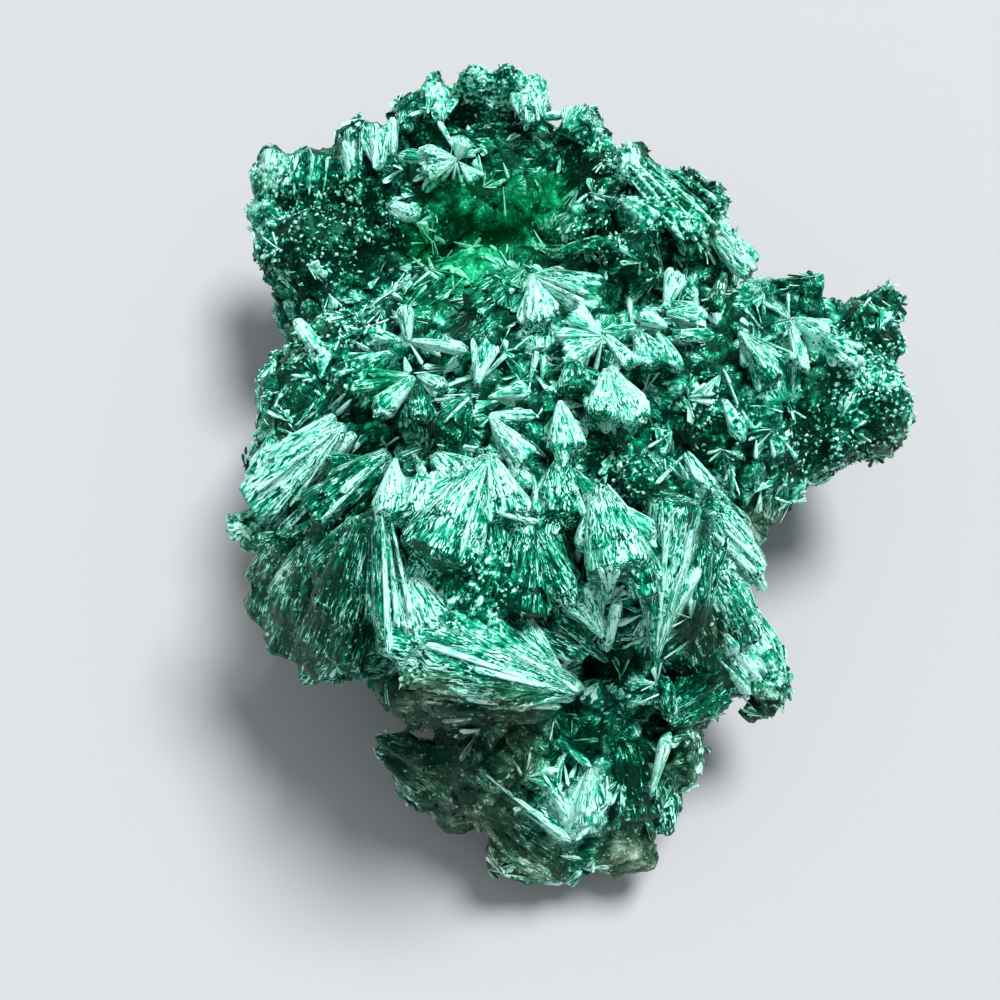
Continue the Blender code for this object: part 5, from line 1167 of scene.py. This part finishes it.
def make_malachite():
    """Dashes along the fibres and grains in the granular places, with painted glints, mapped to greens;
    the emerald tint adds a painted glow.
    """
    material = bpy.data.materials.new("malachite_fibrous")
    material.use_nodes = True
    tree = material.node_tree
    tree.nodes.clear()
    bright = add_node(tree, "ShaderNodeAttribute", attribute_name="bright").outputs["Fac"]
    span = add_node(tree, "ShaderNodeAttribute", attribute_name="span").outputs["Fac"]
    apex = add_node(tree, "ShaderNodeAttribute", attribute_name="apex").outputs["Vector"]
    tint = add_node(tree, "ShaderNodeAttribute", attribute_name="tint").outputs["Vector"]
    tints = add_node(tree, "ShaderNodeSeparateXYZ", {0: tint}).outputs
    in_mm = add_vector(tree, "MULTIPLY", add_node(tree, "ShaderNodeTexCoord").outputs["Object"],
                       (1 / MM, 1 / MM, 1 / MM)).outputs[0]

    waver = add_noise(tree, in_mm, WAVER_WAVES, 2.0).outputs[1]
    waver = add_vector(tree, "SUBTRACT", waver, (0.5, 0.5, 0.5)).outputs[0]
    waver = add_vector(tree, "MULTIPLY", waver, (WAVER, WAVER, WAVER)).outputs[0]
    away = add_vector(tree, "SUBTRACT", add_vector(tree, "ADD", in_mm, waver).outputs[0], apex)
    distance = add_vector(tree, "LENGTH", away.outputs[0]).outputs["Value"]
    direction = add_vector(tree, "NORMALIZE", away.outputs[0]).outputs[0]
    offset = add_vector(tree, "MULTIPLY", apex, (0.7, 0.7, 0.7)).outputs[0]

    def drawn_out(pitch, dash):
        """Noise across the directions from the apex, slow along the distance."""
        stretched = add_math(tree, "MULTIPLY_ADD", span, 1 / pitch,
                             add_math(tree, "MULTIPLY", distance, 1 / dash))
        place_on = add_node(tree, "ShaderNodeVectorMath", {0: direction, "Scale": stretched},
                            operation="SCALE").outputs[0]
        place_on = add_vector(tree, "ADD", place_on, offset).outputs[0]
        return add_noise(tree, place_on, 1.0, 2.0).outputs[0]

    facing = add_node(tree, "ShaderNodeNewGeometry").outputs["Normal"]
    end_on = add_math(tree, "ABSOLUTE", add_vector(tree, "DOT_PRODUCT", facing, direction)
                      .outputs["Value"], 0.0)
    end_on = add_node(tree, "ShaderNodeMapRange", {0: end_on, 1: 0.35, 2: 0.95}).outputs[0]
    end_on = add_math(tree, "MULTIPLY", end_on, add_math(tree, "SUBTRACT", 1.0, tints[2]))
    fibres = drawn_out(FIBRE_PITCH, DASH_LENGTH)
    bundle = drawn_out(BUNDLE_PITCH, BUNDLE_LENGTH)
    grains = add_noise(tree, in_mm, GRAIN_WAVES, 3.0).outputs[0]
    patchy = add_noise(tree, in_mm, 0.45, 2.0).outputs[0]
    texture = add_node(tree, "ShaderNodeMix", {0: tints[2], 2: fibres, 3: grains}).outputs[0]
    # Painted glints: bright specks where the grain noise is highest.
    painted_glints = add_node(tree, "ShaderNodeMapRange", {0: grains, 1: 0.59, 2: 0.69}).outputs[0]

    # Real wear and the painted glow both calm the fibre texture.
    worn_and_glow = add_math(tree, "MAXIMUM", tints[0], add_math(tree, "MULTIPLY", tints[1], 1.5))
    gain = add_math(tree, "MULTIPLY_ADD", worn_and_glow, -WEAR_AND_GLOW_CALM * TEXTURE_GAIN, TEXTURE_GAIN)
    glassy = add_noise(tree, in_mm, GLASSY_WAVES, 2.0).outputs[0]
    glassy = add_node(tree, "ShaderNodeMapRange", {0: glassy, 1: 0.40, 2: 0.62, 3: 1.15, 4: 0.35})
    gain = add_math(tree, "MULTIPLY", gain, glassy.outputs[0])
    calm = add_node(tree, "ShaderNodeMapRange", {0: span, 1: CALM_SPAN, 2: FULL_SPAN, 3: CALM, 4: 1.0})
    gain = add_math(tree, "MULTIPLY", gain, calm.outputs[0])
    value = add_math(tree, "MULTIPLY_ADD", add_math(tree, "SUBTRACT", texture, 0.5), gain, bright)
    value = add_math(tree, "MULTIPLY_ADD", bundle, BUNDLE_GAIN, value)
    value = add_math(tree, "MULTIPLY_ADD", patchy, PATCH_GAIN, value)
    value = add_math(tree, "MULTIPLY_ADD", painted_glints, GLINT_PAINT_GAIN, value)
    value = add_math(tree, "MULTIPLY_ADD", end_on, -END_DARKENING, value)
    value = add_math(tree, "MULTIPLY_ADD", glassy.outputs[0], GLASSY_SHADE, value)
    middle = (BUNDLE_GAIN + PATCH_GAIN) / 2 + GLASSY_SHADE - OVERALL
    value = add_node(tree, "ShaderNodeMath", {0: value, 1: middle}, operation="SUBTRACT",
                     use_clamp=True).outputs[0]

    colour = add_ramp(tree, value, GREENS)
    for factor, stops in ((tints[1], EMERALD_GLOW_GREENS), (tints[0], WEATHERED_GREENS)):
        colour = add_node(tree, "ShaderNodeMix", {0: factor, 6: colour,
                                                  7: add_ramp(tree, value, stops)},
                          data_type="RGBA").outputs[2]
    relief = add_node(tree, "ShaderNodeBump", {"Height": texture, "Strength": 0.8,
                                               "Distance": 0.12 * MM})
    shader = add_node(tree, "ShaderNodeBsdfPrincipled", {
        "Base Color": colour, "Roughness": ROUGHNESS, "IOR": REFRACTION,
        "Specular IOR Level": LUSTRE, "Specular Tint": linear(LUSTRE_COLOUR),
        "Normal": relief.outputs[0]})
    add_node(tree, "ShaderNodeOutputMaterial", {"Surface": shader.outputs[0]})
    return material


malachite = make_malachite()
for piece in pieces + [mass]:
    piece.data.materials.append(malachite)

# %% [markdown]
# ## Attaching the pieces
# All pieces ride on the one body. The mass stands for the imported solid, which then isn't shown.

# %% Riding and replacing
for piece in pieces + [mass]:
    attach(piece, "root")
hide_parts("malachite")

# %% [markdown]
# ## Camera, light and floor
# The camera looks down at the lump from above its foot, 25 degrees off the vertical. A soft lamp
# shines from high behind the lump on the right, with even pale light from all round for the shaded
# side, over a plain pale floor.

# %% Camera, light and floor
CAMERA_TILT = 25.0
FLAT_RADIUS = 2.0
SWEEP = 2.0
FLOOR_STEPS = 96


def add_camera():
    """A 50 mm lens at the eye, tilted from straight down towards the crown."""
    data = bpy.data.cameras.new("camera")
    data.lens = 50.0
    data.sensor_width = 36.0
    data.clip_start = 0.005
    camera = bpy.data.objects.new("camera", data)
    bpy.context.scene.collection.objects.link(camera)
    camera.location = Vector(EYE * MM)
    camera.rotation_euler = (math.radians(CAMERA_TILT), 0, 0)
    bpy.context.scene.camera = camera


def add_sun(position, softness, power):
    """A far soft lamp that shines from a place towards the origin; softness in degrees."""
    data = bpy.data.lights.new("key", "SUN")
    data.angle = math.radians(softness)
    data.energy = power
    lamp = bpy.data.objects.new("key", data)
    bpy.context.scene.collection.objects.link(lamp)
    lamp.location = position
    lamp.rotation_euler = (-lamp.location).to_track_quat("-Z", "Y").to_euler()


def make_floor():
    """A level round sheet that turns up far from the lump: a flat run and a quarter circle,
    carried round the upright axis."""
    turns = np.linspace(0, 2 * math.pi, FLOOR_STEPS, endpoint=False)
    rise = np.linspace(0, math.pi / 2, FLOOR_STEPS // 4)
    radius = np.append(0.01, FLAT_RADIUS + SWEEP * np.sin(rise))
    height = np.append(0.0, SWEEP * (1 - np.cos(rise)))
    points = np.stack([radius[:, None] * np.cos(turns), radius[:, None] * np.sin(turns),
                       np.repeat(height[:, None], FLOOR_STEPS, axis=1)], axis=-1).reshape(-1, 3)
    ring = np.arange(FLOOR_STEPS)
    following = (ring + 1) % FLOOR_STEPS
    low = (np.arange(len(radius) - 1) * FLOOR_STEPS)[:, None]
    quads = np.stack([low + ring, low + FLOOR_STEPS + ring, low + FLOOR_STEPS + following,
                      low + following], axis=-1).reshape(-1, 4)
    mesh = bpy.data.meshes.new("floor")
    mesh.from_pydata(points.tolist(), [], quads.tolist() + [ring.tolist()])
    mesh.shade_smooth()
    floor = bpy.data.objects.new("floor", mesh)
    bpy.context.scene.collection.objects.link(floor)
    material = bpy.data.materials.new("pale_floor")
    material.use_nodes = True
    shader = material.node_tree.nodes["Principled BSDF"]
    shader.inputs["Base Color"].default_value = linear("#b0b2b4")
    shader.inputs["Roughness"].default_value = 0.8
    mesh.materials.append(material)


def make_world(strength):
    """Even pale light from all round."""
    world = bpy.data.worlds.new("studio")
    world.use_nodes = True
    world.node_tree.nodes["Background"].inputs[0].default_value = linear("#e6ebf0")
    world.node_tree.nodes["Background"].inputs[1].default_value = strength
    bpy.context.scene.world = world


add_camera()
add_sun((0.15, 0.15, 0.42), 22.0, 4.4)
make_floor()
make_world(0.56)
bpy.context.scene.view_settings.view_transform = "Standard"
